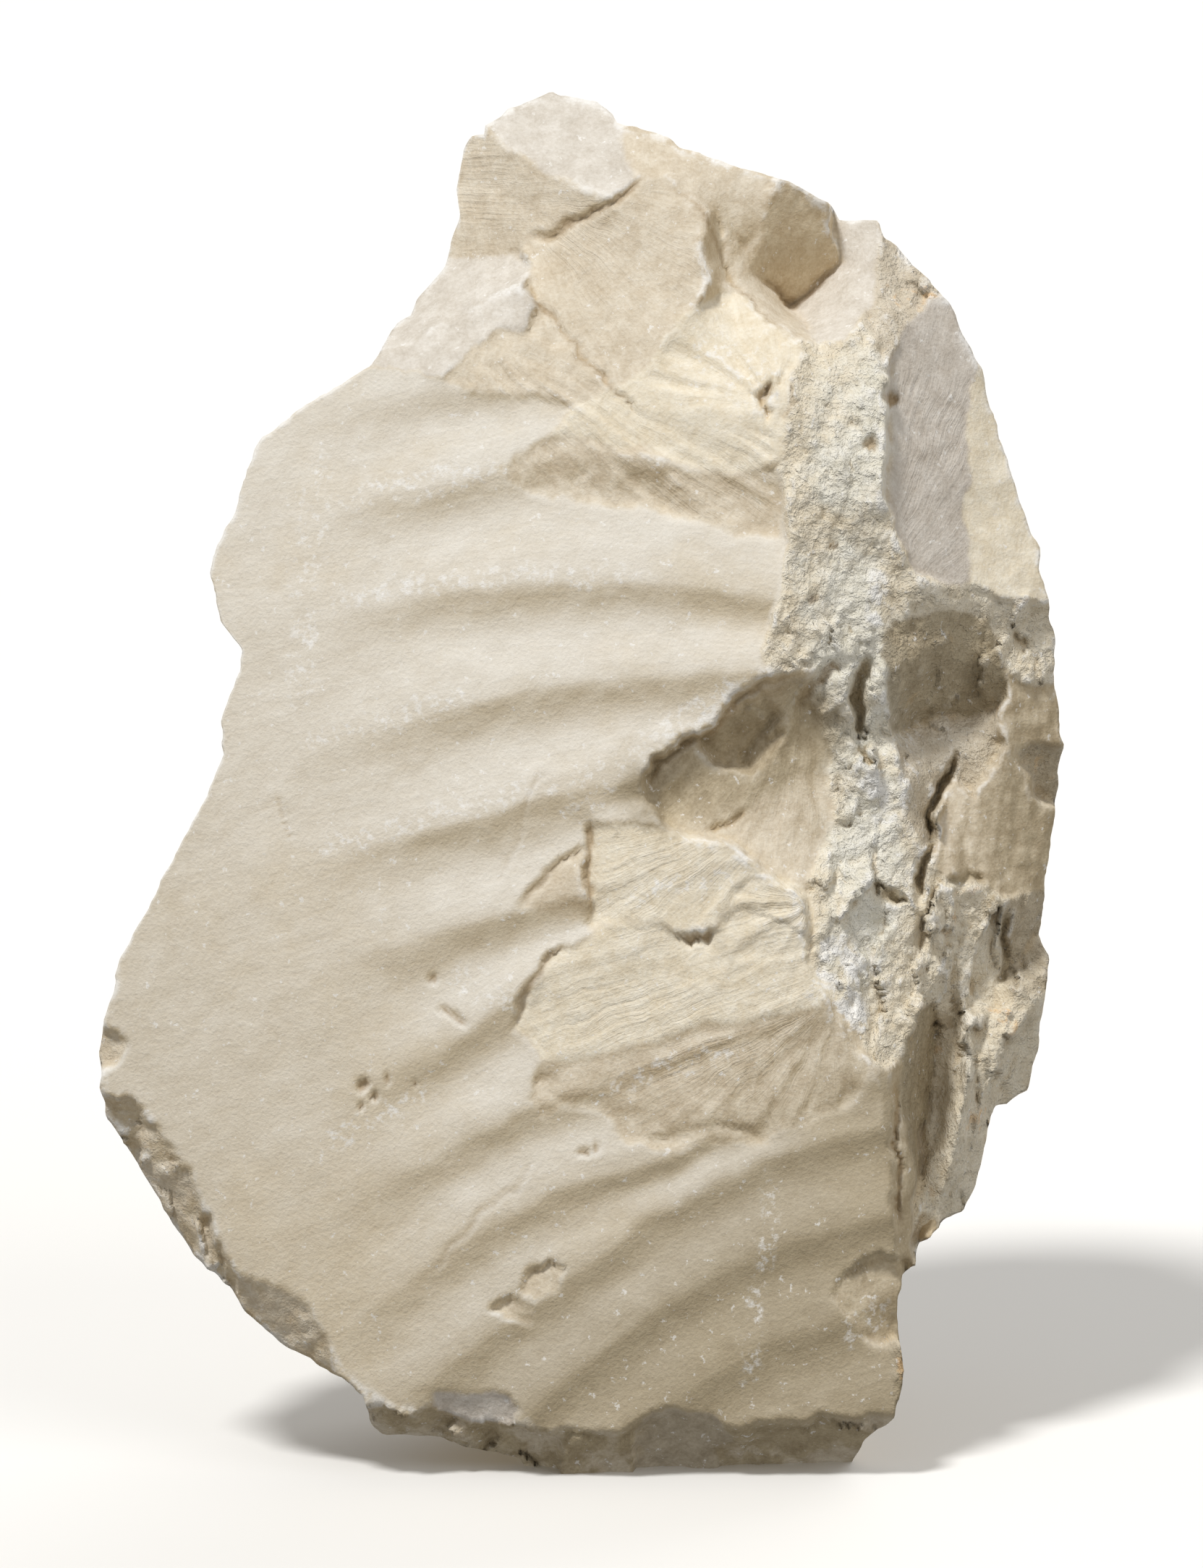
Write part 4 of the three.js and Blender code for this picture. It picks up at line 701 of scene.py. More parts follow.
@dataclass
class FaceRelief:
    """The rock's front: a bowed, fluted face with everything that broke off round it.

    Attributes:
        depth: Depth at the face's crown.
        crown: Where the crown is.
        bow: How gently the face bows across and up.
        flute_depth: Depth of a flute.
        flute_width: Width of a flute, which counts the strokes across it.
        flute_lean: Where a flute's bottom lies: 1 is halfway, less is nearer the upper crest.
        flank_edge: Where the face breaks away on the right.
        flank_drop: How far it drops there.
        flank_slope: How steeply it falls away from there.
        sway: How far the edges of breaks wander.
        sway_size: Size of their bends.
        ragged: How ragged those edges are.
        ragged_size: Size of their teeth.
        plane_sway: Share of that wandering which the plane of a break follows.
        stroke_strength: Strength of the tool's strokes.
        chip_lean: How far the chips of the flank lean as they rise.
        coarse_size: Width of a large chip.
        fine_size: Width of a small chip.
        tiny_size: Width of the smallest chips.
        crumb_size: Size of a crumb.
        lump_size: Size of a lump.
    """

    depth: float = 30.0
    crown: tuple[float, float] = (5.0, 88.0)
    bow: tuple[float, float] = (1400.0, 760.0)
    flute_depth: float = 1.1
    flute_width: float = 14.0
    flute_lean: float = 0.75
    flank_edge: float = 40.0
    flank_drop: float = 3.0
    flank_slope: float = 1.1
    sway: float = 0.8
    sway_size: float = 4.1
    ragged: float = 0.2
    ragged_size: float = 1.5
    plane_sway: float = 0.3
    stroke_strength: float = 0.09
    chip_lean: float = 0.35
    coarse_size: float = 5.5
    fine_size: float = 2.4
    tiny_size: float = 1.3
    crumb_size: float = 1.9
    lump_size: float = 9.0

    def flutes(self, x: Array, z: Array) -> tuple[Array, Array]:
        """Depth of the flutes, and a measure that runs across them.

        Args:
            x: Positions across.
            z: Positions up.

        Returns:
            The depth cut away, and the distance across the strokes in mm.
        """
        cut = np.zeros_like(x)
        across = np.zeros_like(x)
        arrises = [np.interp(x, ARRIS_STATIONS, heights) for heights in ARRISES]
        for i in range(len(arrises) - 1):
            top = arrises[i]
            bottom = arrises[i + 1]
            s = np.clip((top - z) / (top - bottom), 0, 1)
            here = (top >= z) & (bottom < z)
            cut = np.where(here, 0.5 - 0.5 * np.cos(2 * np.pi * s ** self.flute_lean), cut)
            across = np.where(here, (i + s) * self.flute_width, across)
        return self.flute_depth * cut, across

    def lay(self, x: Array, z: Array) -> tuple[Array, dict[Zone, Array], Array]:
        """Lay the whole front relief.

        Args:
            x: Positions across.
            z: Positions up.

        Returns:
            The depths, the share of each zone, and for the strokes their distance along, their distance
            across and their strength.
        """
        zones = {zone: np.zeros_like(x) for zone in Zone}
        zones[Zone.SCRAPED] += 1
        # Painted shade toward the lower right, along the left edge and on the right plate
        zones[Zone.PAINTED_SHADE] += self.painted_shade(x, z)
        zones[Zone.FLANK] += smooth(self.flank_edge + 1, self.flank_edge + 3, x)
        broad = (x / self.sway_size, z / self.sway_size)
        close = (x / self.ragged_size, z / self.ragged_size)
        bends = [self.sway * fractal(*broad, layer, 3) for layer in (3.3, 9.7)]
        teeth = [self.ragged * fractal(*close, layer, 2) for layer in (2.2, 7.9)]
        edge_x = x + bends[0] + teeth[0]
        edge_z = z + bends[1] + teeth[1]
        h, across = self.face(x, z, bends)
        self.facets(h, zones, x, z, edge_x, edge_z)
        self.scars(h, zones, edge_x, edge_z)
        strokes = np.stack([x, across, self.stroke_strength * zones[Zone.SCRAPED]], 1)
        patchy = 0.3 + 0.35 * smooth(-0.2, 0.5, noise(x / 7, z / 7, 2.6))
        for fan in FANS:
            lines, course, share = self.hackles(fan, (x + edge_x) / 2, (z + edge_z) / 2)
            h += lines
            strokes[share > 0.2, :2] = course[share > 0.2]
            strokes[:, 2] = np.maximum(strokes[:, 2], share * patchy)
        self.creases(h, zones, edge_x, edge_z)
        return h, zones, strokes

    @staticmethod
    def painted_shade(x: Array, z: Array) -> Array:
        """Share of painted shade on the front.

        Args:
            x: Positions across.
            z: Positions up.

        Returns:
            Shares: most toward the lower right, some on the right plate, a little along the left edge.
        """
        lower_right = smooth(60, -10, z - 0.9 * x)
        left_edge = 0.2 * smooth(-35, -60, x)
        right_plate = 0.55 * smooth(48, 60, x) * smooth(74, 84, z) * smooth(122, 112, z)
        return lower_right + left_edge + right_plate

    def face(self, x: Array, z: Array, bends: list[Array]) -> tuple[Array, Array]:
        """Depth of the bowed, fluted face before anything breaks off it.

        Args:
            x: Positions across.
            z: Positions up.
            bends: How far the crests wander across and up.

        Returns:
            The depths, and the distance across the strokes.
        """
        bowed = self.depth - (x - self.crown[0]) ** 2 / self.bow[0] - (z - self.crown[1]) ** 2 / self.bow[1]
        cut, across = self.flutes(x + 0.4 * bends[0], z + 0.5 * bends[1])
        # The flutes fade out on the left, at the top and under the break, and are shallower at the foot
        in_break = 1 - 0.75 * smooth(-1, 4, inside_distance(MIDDLE_BREAK, x, z))
        at_foot = 1 - 0.3 * smooth(62, 34, z)
        h = bowed - cut * (in_break * at_foot) * smooth(-42, -12, x) * smooth(152, 142, z)
        flank = self.depth - self.flank_drop - self.flank_slope * (x - self.flank_edge)
        return np.minimum(h, flank), across

    def facets(
        self, h: Array, zones: dict[Zone, Array], x: Array, z: Array, edge_x: Array, edge_z: Array,
    ) -> None:
        """Break the facets off.

        Args:
            h: Depths, changed in place.
            zones: Share of each zone, changed in place.
            x: Positions across.
            z: Positions up.
            edge_x: Positions across that wander, for the edges.
            edge_z: Positions up that wander, for the edges.
        """
        plane_x = x + self.plane_sway * (edge_x - x)
        plane_z = z + self.plane_sway * (edge_z - z)
        for facet in FACETS.values():
            inside = inside_distance(facet.corners, edge_x, edge_z)
            near = inside > -1
            share = smooth(-0.9, 0.1, inside[near])
            h[near] += (blended_depth(facet.corners, plane_x[near], plane_z[near]) - h[near]) * share
            self.claim(zones, facet.zones, near, share)

    def scars(self, h: Array, zones: dict[Zone, Array], x: Array, z: Array) -> None:
        """Cut the flakes' beds and the shallow scars.

        Args:
            h: Depths, changed in place.
            zones: Share of each zone, changed in place.
            x: Positions across.
            z: Positions up.
        """
        for scar in SCARS.values():
            inside = inside_distance(scar.loop, x, z)
            near = inside > -scar.edge
            share = smooth(-scar.edge / 2, scar.edge / 2, inside[near])
            drop = np.maximum(h[near] - scar.floor(x[near], z[near]), 0)
            h[near] -= drop * share
            self.claim(zones, scar.zones, near, share * smooth(0, 0.4, drop))
        for dent in DENTS.values():
            inside = inside_distance(dent.corners, x, z)
            near = inside > -dent.edge
            share = smooth(-dent.edge / 2, dent.edge / 2, inside[near])
            h[near] -= np.maximum(blended_depth(dent.corners, x[near], z[near], 0), 0) * share
            self.claim(zones, dent.zones, near, share)

    @staticmethod
    def creases(h: Array, zones: dict[Zone, Array], x: Array, z: Array) -> None:
        """Cut the cracks and the pits and lay the bands of colour.

        Args:
            h: Depths, changed in place.
            zones: Share of each zone, changed in place.
            x: Positions across.
            z: Positions up.
        """
        for crease in CREASES:
            reach, along = chain_distance(crease.line, x, z)
            share = smooth(crease.reach, 0.15, reach) * smooth(0, 0.2, along) * smooth(1, 0.8, along)
            h -= crease.depth * share
            # Hairlines are fainter than open cracks
            shown = share * (min(1, 0.2 + crease.depth) if crease.zone is Zone.CRACK else 1)
            zones[crease.zone] = np.maximum(zones[crease.zone], shown)
        for pit in PITS:
            reach = np.hypot(x - pit.at[0], z - pit.at[1]) / pit.radius
            share = smooth(1.2, 0.5, reach)
            h -= pit.depth * share
            zones[Zone.CRACK] = np.maximum(zones[Zone.CRACK], share)

    @staticmethod
    def claim(zones: dict[Zone, Array], named: tuple[Zone, ...], near: Array, share: Array) -> None:
        """Give a stretch of surface to its zones and take it from the others, but leave the painted shade.

        Args:
            zones: Share of each zone, changed in place.
            named: Zones that the stretch belongs to.
            near: Which points the stretch reaches.
            share: How much of each of those points it takes.
        """
        for zone, amount in zones.items():
            if zone is Zone.PAINTED_SHADE:
                continue
            amount[near] += ((1.0 if zone in named else 0.0) - amount[near]) * share

    @staticmethod
    def hackles(fan: Fan, x: Array, z: Array) -> tuple[Array, Array, Array]:
        """Height of one fan of hackle lines.

        Args:
            fan: The fan.
            x: Positions across.
            z: Positions up.

        Returns:
            The heights, the distances along and across the lines, and the share of the fan.
        """
        share = smooth(-0.3, 1.5, inside_distance(fan.loop, x, z))
        middle = np.mean(np.array([corner[:2] for corner in fan.loop]), axis=0) - np.array(fan.centre)
        ahead = (x - fan.centre[0]) * middle[0] + (z - fan.centre[1]) * middle[1]
        aside = (z - fan.centre[1]) * middle[0] - (x - fan.centre[0]) * middle[1]
        turn = np.arctan2(aside, ahead) * fan.radius()
        out = np.hypot(x - fan.centre[0], z - fan.centre[1])
        lines = fractal(turn / fan.spacing, out / fan.run, fan.spacing, 2)
        return fan.height * lines * share, np.stack([out, turn], 1), share

    def roughness(self, x: Array, z: Array, h: Array, zones: dict[Zone, Array]) -> Array:
        """Height of the small relief that each zone of the front carries.

        Args:
            x: Positions across.
            z: Positions up.
            h: Depths so far.
            zones: Share of each zone.

        Returns:
            Heights to add.
        """
        bent = 0.8 * noise(x / 3, z / 3, h / 3)
        # Chips are twice as tall as wide and lean to the right as they rise
        aside = x - self.chip_lean * z + bent
        upward = 0.5 * (z + self.chip_lean * x) - bent
        stretched = np.stack([aside, upward, h], 1)
        coarse = chips(stretched, self.coarse_size, 2) * smooth(-0.3, 0.5, noise(x / 9, z / 12, 4.4))
        fine = chips(stretched, self.fine_size, 5) * smooth(-0.3, 0.5, noise(x / 6, z / 7, 8.8))
        tiny = chips(stretched * (1, 1.6, 1), self.tiny_size, 7)
        crumbs = fractal(x / self.crumb_size, z / self.crumb_size, h / self.crumb_size, 3)
        lumps = fractal(x / self.lump_size, z / self.lump_size, h / self.lump_size, 3)
        splinters = fractal(x / 2.4, z / 13, h / 4, 3)
        calm = 1 - 0.8 * zones[Zone.HOLLOW]
        kinds = {
            "coarse": coarse, "fine": fine, "tiny": tiny, "crumbs": crumbs, "lumps": lumps,
            "splinters": splinters, "calm_coarse": calm * coarse, "calm_fine": calm * fine,
        }
        shares = {zone.value: amount for zone, amount in zones.items()}
        rugged = zones[Zone.FLANK] + zones[Zone.CRUMB] + zones[Zone.HOLLOW] + zones[Zone.EDGE]
        plain = 1 - np.clip(rugged, 0, 1)
        shares["scraped"] = plain * zones[Zone.SCRAPED]
        shares["broken"] = plain * (1 - np.clip(zones[Zone.SCRAPED], 0, 1)) * (1 - 0.7 * zones[Zone.GREY])
        rough = np.zeros_like(x)
        for where, heights in SMALL_RELIEF.items():
            rough += shares[where] * sum(height * kinds[kind] for kind, height in heights.items())
        return rough


@dataclass
class BackRelief:
    """The rock's back: flat breaks, spalled hollows and a steep wall along the rim.

    Attributes:
        depth: Depth of the main break behind the outline plane.
        taper: How it thins to the left.
        steepness: Slope of the wall at the rim.
        wall_drop: How far the edge of that wall is chipped away.
        wall_edge: How wide the chipped edge is.
        wave_height: Height of the long waves.
        wave_size: Length of the long waves.
        ripple_height: Height of the short waves.
        ripple_size: Length of the short waves.
        lump_height: How far the lumps stand out.
        lump_size: Size of a lump.
        rim_ease: How far in from the rim the lumps and chips reach their full height.
        chip_sizes: Width and height of the large and the small chips.
        middle_height: Height at which the depths of the breaks are given.
    """

    depth: float = 29.0
    taper: float = 0.32
    steepness: float = 2.6
    wall_drop: float = 3.0
    wall_edge: float = 4.0
    wave_height: float = 2.2
    wave_size: float = 21.0
    ripple_height: float = 0.5
    ripple_size: float = 6.0
    lump_height: float = 2.4
    lump_size: float = 15.0
    rim_ease: float = 6.0
    chip_sizes: tuple[tuple[float, float], ...] = ((11.0, 0.28), (3.5, 0.05))
    middle_height: float = 95.0

    def breaks(self) -> tuple[tuple[float, float, float], ...]:
        """Planes of the flat breaks.

        Returns:
            Each one's depth in the middle, slope across and slope up.
        """
        return (
            (-self.depth, -self.taper, 0.02), (-54, 0.05, 0.46), (-96, 1.15, 0.12), (-76, -0.1, -0.5),
            (-56, -1.08, 0.19), (-94, -1.07, -0.75), (-57, -0.82, 0.57), (-80, -0.14, 0.79),
            (-110, 0.69, 0.98), (-98, 1.04, -0.6),
        )

    def hollows(self) -> tuple[tuple[float, ...], ...]:
        """Spalled hollows.

        Returns:
            Each one's middle across and up, reach across and up, and depth.
        """
        return (
            (-8, 122, 24, 17, 4.5), (22, 78, 20, 30, 5), (-30, 62, 17, 20, 3.5), (10, 150, 15, 12, 3),
            (34, 118, 13, 20, 4),
        )

    def lay(self, x: Array, z: Array, rim: Array, inward: Array) -> Array:
        """Lay the back relief.

        Args:
            x: Positions across.
            z: Positions up.
            rim: Depth of the nearest stretch of rim.
            inward: Distance in from the rim.

        Returns:
            Depths.
        """
        c = np.full_like(x, -1e9)
        for depth, across, up in self.breaks():
            c = np.maximum(c, depth + across * x + up * (z - self.middle_height))
        for across, up, reach_x, reach_z, depth in self.hollows():
            out = np.hypot((x - across) / reach_x, (z - up) / reach_z)
            c += depth * smooth(1, 0.55, out) * (1 - 0.4 * out)
        c += self.wave_height * fractal(x / self.wave_size, z / self.wave_size, 5.1, 2)
        c += self.ripple_height * fractal(x / self.ripple_size, z / self.ripple_size, 1.7, 2)
        uneven = 1 + 0.3 * noise(x / 17, z / 17, 8.2)
        wall = rim - self.steepness * uneven * inward - self.wall_drop * smooth(0, self.wall_edge, inward)
        return np.maximum(c, wall)


def linear(code: str) -> tuple[float, float, float, float]:
    """Turn an sRGB hex colour into linear light.

    Args:
        code: Colour such as "#D3C8B2".

    Returns:
        Linear red, green, blue and an alpha of 1.
    """
    parts = [int(code[i:i + 2], 16) / 255 for i in (1, 3, 5)]
    red, green, blue = (v / 12.92 if v <= 0.04045 else ((v + 0.055) / 1.055) ** 2.4 for v in parts)
    return red, green, blue, 1.0


# Sockets of a node that mixes colours; their names are shared with its other kinds of value
MIX_SHARE = 0
MIX_UNDER = 6
MIX_OVER = 7
MIXED = 2


def add_node(
    tree: bpy.types.NodeTree,
    kind: str,
    settings: dict[str, object] | None = None,
    inputs: dict[str | int, object] | None = None,
) -> bpy.types.Node:
    """Add a node, set it up and link it.

    Args:
        tree: Tree that gets the node.
        kind: Type name of the node.
        settings: Attributes of the node to set.
        inputs: Values or output sockets for its inputs, by name or number.

    Returns:
        The new node.
    """
    node = tree.nodes.new(kind)
    for name, value in (settings or {}).items():
        setattr(node, name, value)
    for name, value in (inputs or {}).items():
        if isinstance(value, bpy.types.NodeSocket):
            tree.links.new(value, node.inputs[name])
        else:
            node.inputs[name].default_value = value
    return node


@dataclass(frozen=True)
class Coat:
    """One colour laid over those before it.

    Attributes:
        tone: The colour.
        strength: Most of it that shows.
        masks: Patterns that must meet where it shows, each with the values that give none and all of it.
    """

    tone: str
    strength: float
    masks: tuple[tuple[str, float, float], ...]


@dataclass(frozen=True)
class Grain:
    """One layer of relief too fine for the mesh.

    Attributes:
        pattern: Pattern that gives the height.
        mask: Pattern that says where the layer lies.
        none: Value of the mask that gives none of it.
        full: Value of the mask that gives all of it.
        height_mm: Height of the layer.
    """

    pattern: str
    mask: str
    none: float
    full: float
    height_mm: float


@dataclass(frozen=True)
class ScrapedChalk:
    """Soft chalk, scraped with a hand tool in front and freshly broken elsewhere.

    Dry chalk is dead matt and close to white, with warm blotches where it was handled, paler bruises along
    its edges, powder in its crumbly seam and rusty cracks. Painted shade warms and darkens what faces away
    from the light, the creases and hollows and the lower right; painted light pales what faces it and some
    flank facets. Fine strokes run along the flutes.

    Attributes:
        scraped: Handled, scraped face, its lit colour where it faces the light.
        scraped_stain_and_shade: Its blotchy stains, and its painted shade where it faces away from the
            light.
        broken: Fresh breaks, their lit colour where they face the light; also pale patches on the chipped
            edge.
        broken_painted_shade: Painted shade of the breaks, where they face away from the light and in
            creases and hollows.
        seam: Crumbly seam.
        grey: Cool facets.
        flank: Rough flank.
        dust: Powder and bruises.
        struck_and_painted_light: Newest breaks and crumbly stone, and painted light on flank facets that
            face away from the light.
        pale: Clean old breaks at the peak, laid only where they face the light.
        rust: Cracks and pits.
        ochre: Rusty crumbs.
        painted_shade: Painted shade toward the lower right, along the left edge, on the right plate and in
            the hollows.
        roughness: How matt the surface is.
        ior: Refractive index, at the low end for calcite because the stone is porous.
        grain_mm: Size of a grain, drawn coarser than real chalk so that it shows.
        block_mm: Size of the crumbs in rough stone.
        stroke_mm: Spacing of the finest strokes.
        stroke_stretch: How short a stroke's width is against its length.
    """

    scraped: str = "#DED7CA"
    scraped_stain_and_shade: str = "#CFBE9F"
    broken: str = "#D3C6B0"
    broken_painted_shade: str = "#CCB998"
    seam: str = "#E4E0D2"
    grey: str = "#C8C0B6"
    flank: str = "#CDC2AE"
    dust: str = "#EFECE6"
    struck_and_painted_light: str = "#E8DDC6"
    pale: str = "#D2CBC0"
    rust: str = "#8A6A38"
    ochre: str = "#D8B07C"
    painted_shade: str = "#A29273"
    roughness: float = 0.92
    ior: float = 1.5
    grain_mm: float = 0.5
    block_mm: float = 2.8
    stroke_mm: float = 0.7
    stroke_stretch: float = 0.06

    def clouds(self) -> tuple[tuple[str, float, float, float], ...]:
        """Cloudy patterns.

        Returns:
            Each one's name, patch size in mm, number of finer layers and their strength.
        """
        return (
            ("blotch", 22.0, 6, 0.62), ("patch", 9.0, 4, 0.6), ("mottle", 3.0, 5, 0.6),
            ("fleck", 1.3, 3, 0.7), ("grain", self.grain_mm, 3, 0.6),
        )

    def coats(self) -> tuple[Coat, ...]:
        """Colours that cover the warm ground.

        Returns:
            The coats, in the order that they are laid.
        """
        scraped = ("scraped", 0, 1)
        return (
            # Painted light and shade: breaks that face the light get their lit colour over a ground of
            # painted shade
            Coat(self.broken, 1, (("painted_light", 0.4, 0.78),)),
            Coat(self.flank, 0.6, (("flank", 0, 1),)),
            # Painted shade toward the lower right, along the left edge and on the right plate
            Coat(self.painted_shade, 0.55, (("painted_shade", 0, 1),)),
            # Newest breaks, and painted light on flank facets that face away from the light
            Coat(self.struck_and_painted_light, 0.75, (("fresh_and_painted_light", 0, 1),)),
            # The peak's clean breaks, laid only where they face the light: painted light
            Coat(self.pale, 0.85, (("pale", 0, 1), ("painted_light", 0.35, 0.65))),
            # Painted shade of the scraped face, then its lit colour where it faces the light
            Coat(self.scraped_stain_and_shade, 1, (scraped,)),
            Coat(self.scraped, 1, (scraped, ("painted_light", 0.45, 0.82))),
            Coat(self.scraped_stain_and_shade, 0.5, (scraped, ("blotch", 0.45, 0.75))),
            # Painted shade on the scraped face toward the lower right, the left edge and the right plate
            Coat(self.painted_shade, 0.72, (scraped, ("painted_shade", 0, 1))),
            Coat(self.grey, 0.8, (("grey", 0, 1),)),
            Coat(self.struck_and_painted_light, 0.75, (("crumb", 0, 1),)),
            Coat(self.seam, 0.8, (("seam", 0.1, 0.6), ("patch", 0.32, 0.56))),
            # Painted shade in the surface's creases and hollows
            Coat(self.broken_painted_shade, 0.7, (("cavity", 0.58, 0.95),)),
            Coat(self.dust, 0.6, (("cavity", 0.44, 0.2), ("mottle", 0.42, 0.6), ("painted_shade", 1, 0.3))),
            Coat(self.dust, 0.5, (("dust", 0, 0.9), ("fleck", 0.5, 0.62))),
            Coat(self.dust, 0.75, (("dust", 0.2, 0.8), ("crumb", 0, 0.6), ("mottle", 0.4, 0.55))),
            Coat(self.ochre, 0.7, (("flank", 0.3, 1), ("patch", 0.56, 0.66), ("mottle", 0.5, 0.62))),
            Coat(self.rust, 0.45, (("crack", 0, 1),)),
            # Painted shade in the hollows
            Coat(self.painted_shade, 0.7, (("hollow", 0, 1),)),
            Coat(self.broken, 0.6, (("edge", 0, 1), ("patch", 0.48, 0.6))),
            Coat(self.dust, 0.6, (("fleck", 0.63, 0.7),)),
        )

    def tints(self) -> tuple[tuple[str, float, float], ...]:
        """Each shading pattern, with its strength on breaks and on the scraped face."""
        return ("lines", 0.1, 0.08), ("grain", 0.2, 0.1), ("mottle", 0.3, 0.1)

    def grains(self) -> tuple[Grain, ...]:
        """Fine relief: strokes and hackle lines, grain all over, crumbs where the stone is rough.

        Returns:
            The layers, from the lowest up.
        """
        return (
            Grain("lines", "comb", 0, 1, 0.4),
            Grain("grain", "rough", -0.8, 1, 0.3),
            Grain("mottle", "rough", -0.35, 1, 0.5),
            Grain("fleck", "rough", 0, 1, 0.6),
            Grain("blocks", "rough", 0, 1, 0.5),
        )

    def patterns(self, tree: bpy.types.NodeTree) -> dict[str, bpy.types.NodeSocket]:
        """Lay out every pattern that the colours and the fine relief draw on.

        Args:
            tree: Tree that gets the nodes.

        Returns:
            The value of each pattern, by name.
        """
        found = {}
        for name in [zone.value for zone in Zone] + ["cavity", "painted_light", "comb", "rough"]:
            found[name] = add_node(tree, "ShaderNodeAttribute", {"attribute_name": name}).outputs["Fac"]
        where = add_node(tree, "ShaderNodeTexCoord").outputs["Object"]
        for name, size_mm, detail, strength in self.clouds():
            found[name] = add_node(tree, "ShaderNodeTexNoise", None, {
                "Vector": where, "Scale": 1 / (size_mm * MM), "Detail": detail, "Roughness": strength,
            }).outputs["Fac"]
        found["blocks"] = add_node(tree, "ShaderNodeTexVoronoi", None, {
            "Vector": where, "Scale": 1 / (self.block_mm * MM),
        }).outputs["Distance"]
        strokes = add_node(tree, "ShaderNodeAttribute", {"attribute_name": "strokes"}).outputs["Vector"]
        stretched = add_node(tree, "ShaderNodeMapping", None, {
            "Vector": strokes, "Scale": (self.stroke_stretch, 1, 1),
        }).outputs["Vector"]
        found["lines"] = add_node(tree, "ShaderNodeTexNoise", None, {
            "Vector": stretched, "Scale": 1 / self.stroke_mm, "Detail": 3.0, "Roughness": 0.6,
        }).outputs["Fac"]
        return found

    def material(self) -> bpy.types.Material:
        """Make the material.

        Returns:
            The material, named for the stone and its surface.
        """
        # Chalk scatters light evenly: no gloss anywhere, all its variety in tone and fine relief
        made = bpy.data.materials.new("chalk_scraped_and_broken")
        made.use_nodes = True
        tree = made.node_tree
        tree.nodes.clear()
        patterns = self.patterns(tree)
        eased = {"interpolation_type": "SMOOTHSTEP"}
        # The ground colour is the breaks' painted shade
        colour = linear(self.broken_painted_shade)
        for coat in self.coats():
            share = coat.strength
            for name, none, full in coat.masks:
                mask = add_node(tree, "ShaderNodeMapRange", eased, {
                    "Value": patterns[name], "From Min": none, "From Max": full,
                }).outputs["Result"]
                share = add_node(tree, "ShaderNodeMath", {"operation": "MULTIPLY"}, {
                    0: share, 1: mask,
                }).outputs["Value"]
            colour = add_node(tree, "ShaderNodeMix", {"data_type": "RGBA"}, {
                MIX_SHARE: share, MIX_UNDER: colour, MIX_OVER: linear(coat.tone),
            }).outputs[MIXED]
        for name, on_breaks, on_face in self.tints():
            share = add_node(tree, "ShaderNodeMapRange", None, {
                "Value": patterns["scraped"], "To Min": on_breaks, "To Max": on_face,
            }).outputs["Result"]
            shade = add_node(tree, "ShaderNodeMapRange", eased, {
                "Value": patterns[name], "From Min": 0.25, "From Max": 0.75,
            }).outputs["Result"]
            colour = add_node(tree, "ShaderNodeMix", {"data_type": "RGBA", "blend_type": "SOFT_LIGHT"}, {
                MIX_SHARE: share, MIX_UNDER: colour, MIX_OVER: shade,
            }).outputs[MIXED]
        surface = {"Base Color": colour, "Roughness": self.roughness, "IOR": self.ior, "Metallic": 0.0}
        for grain in self.grains():
            share = add_node(tree, "ShaderNodeMapRange", None, {
                "Value": patterns[grain.mask], "From Min": grain.none, "From Max": grain.full,
            }).outputs["Result"]
            bump = {"Strength": share, "Distance": grain.height_mm * MM, "Height": patterns[grain.pattern]}
            if "Normal" in surface:
                bump["Normal"] = surface["Normal"]
            surface["Normal"] = add_node(tree, "ShaderNodeBump", None, bump).outputs["Normal"]
        shader = add_node(tree, "ShaderNodeBsdfPrincipled", None, surface)
        add_node(tree, "ShaderNodeOutputMaterial", None, {"Surface": shader.outputs["BSDF"]})
        return made


@dataclass(frozen=True)
class StudioPaper:
    """Matt white background paper, smooth and even.

    Attributes:
        tone: Its colour.
        roughness: How matt it is.
    """

    tone: str = "#E9E7E3"
    roughness: float = 0.95

    def material(self) -> bpy.types.Material:
        """Make the material.

        Returns:
            The material.
        """
        # Uncoated paper: an even white with no gloss, so that only the rock's shadow shows on it
        made = bpy.data.materials.new("paper_matt_white")
        made.use_nodes = True
        shader = made.node_tree.nodes["Principled BSDF"]
        shader.inputs["Base Color"].default_value = linear(self.tone)
        shader.inputs["Roughness"].default_value = self.roughness
        return made


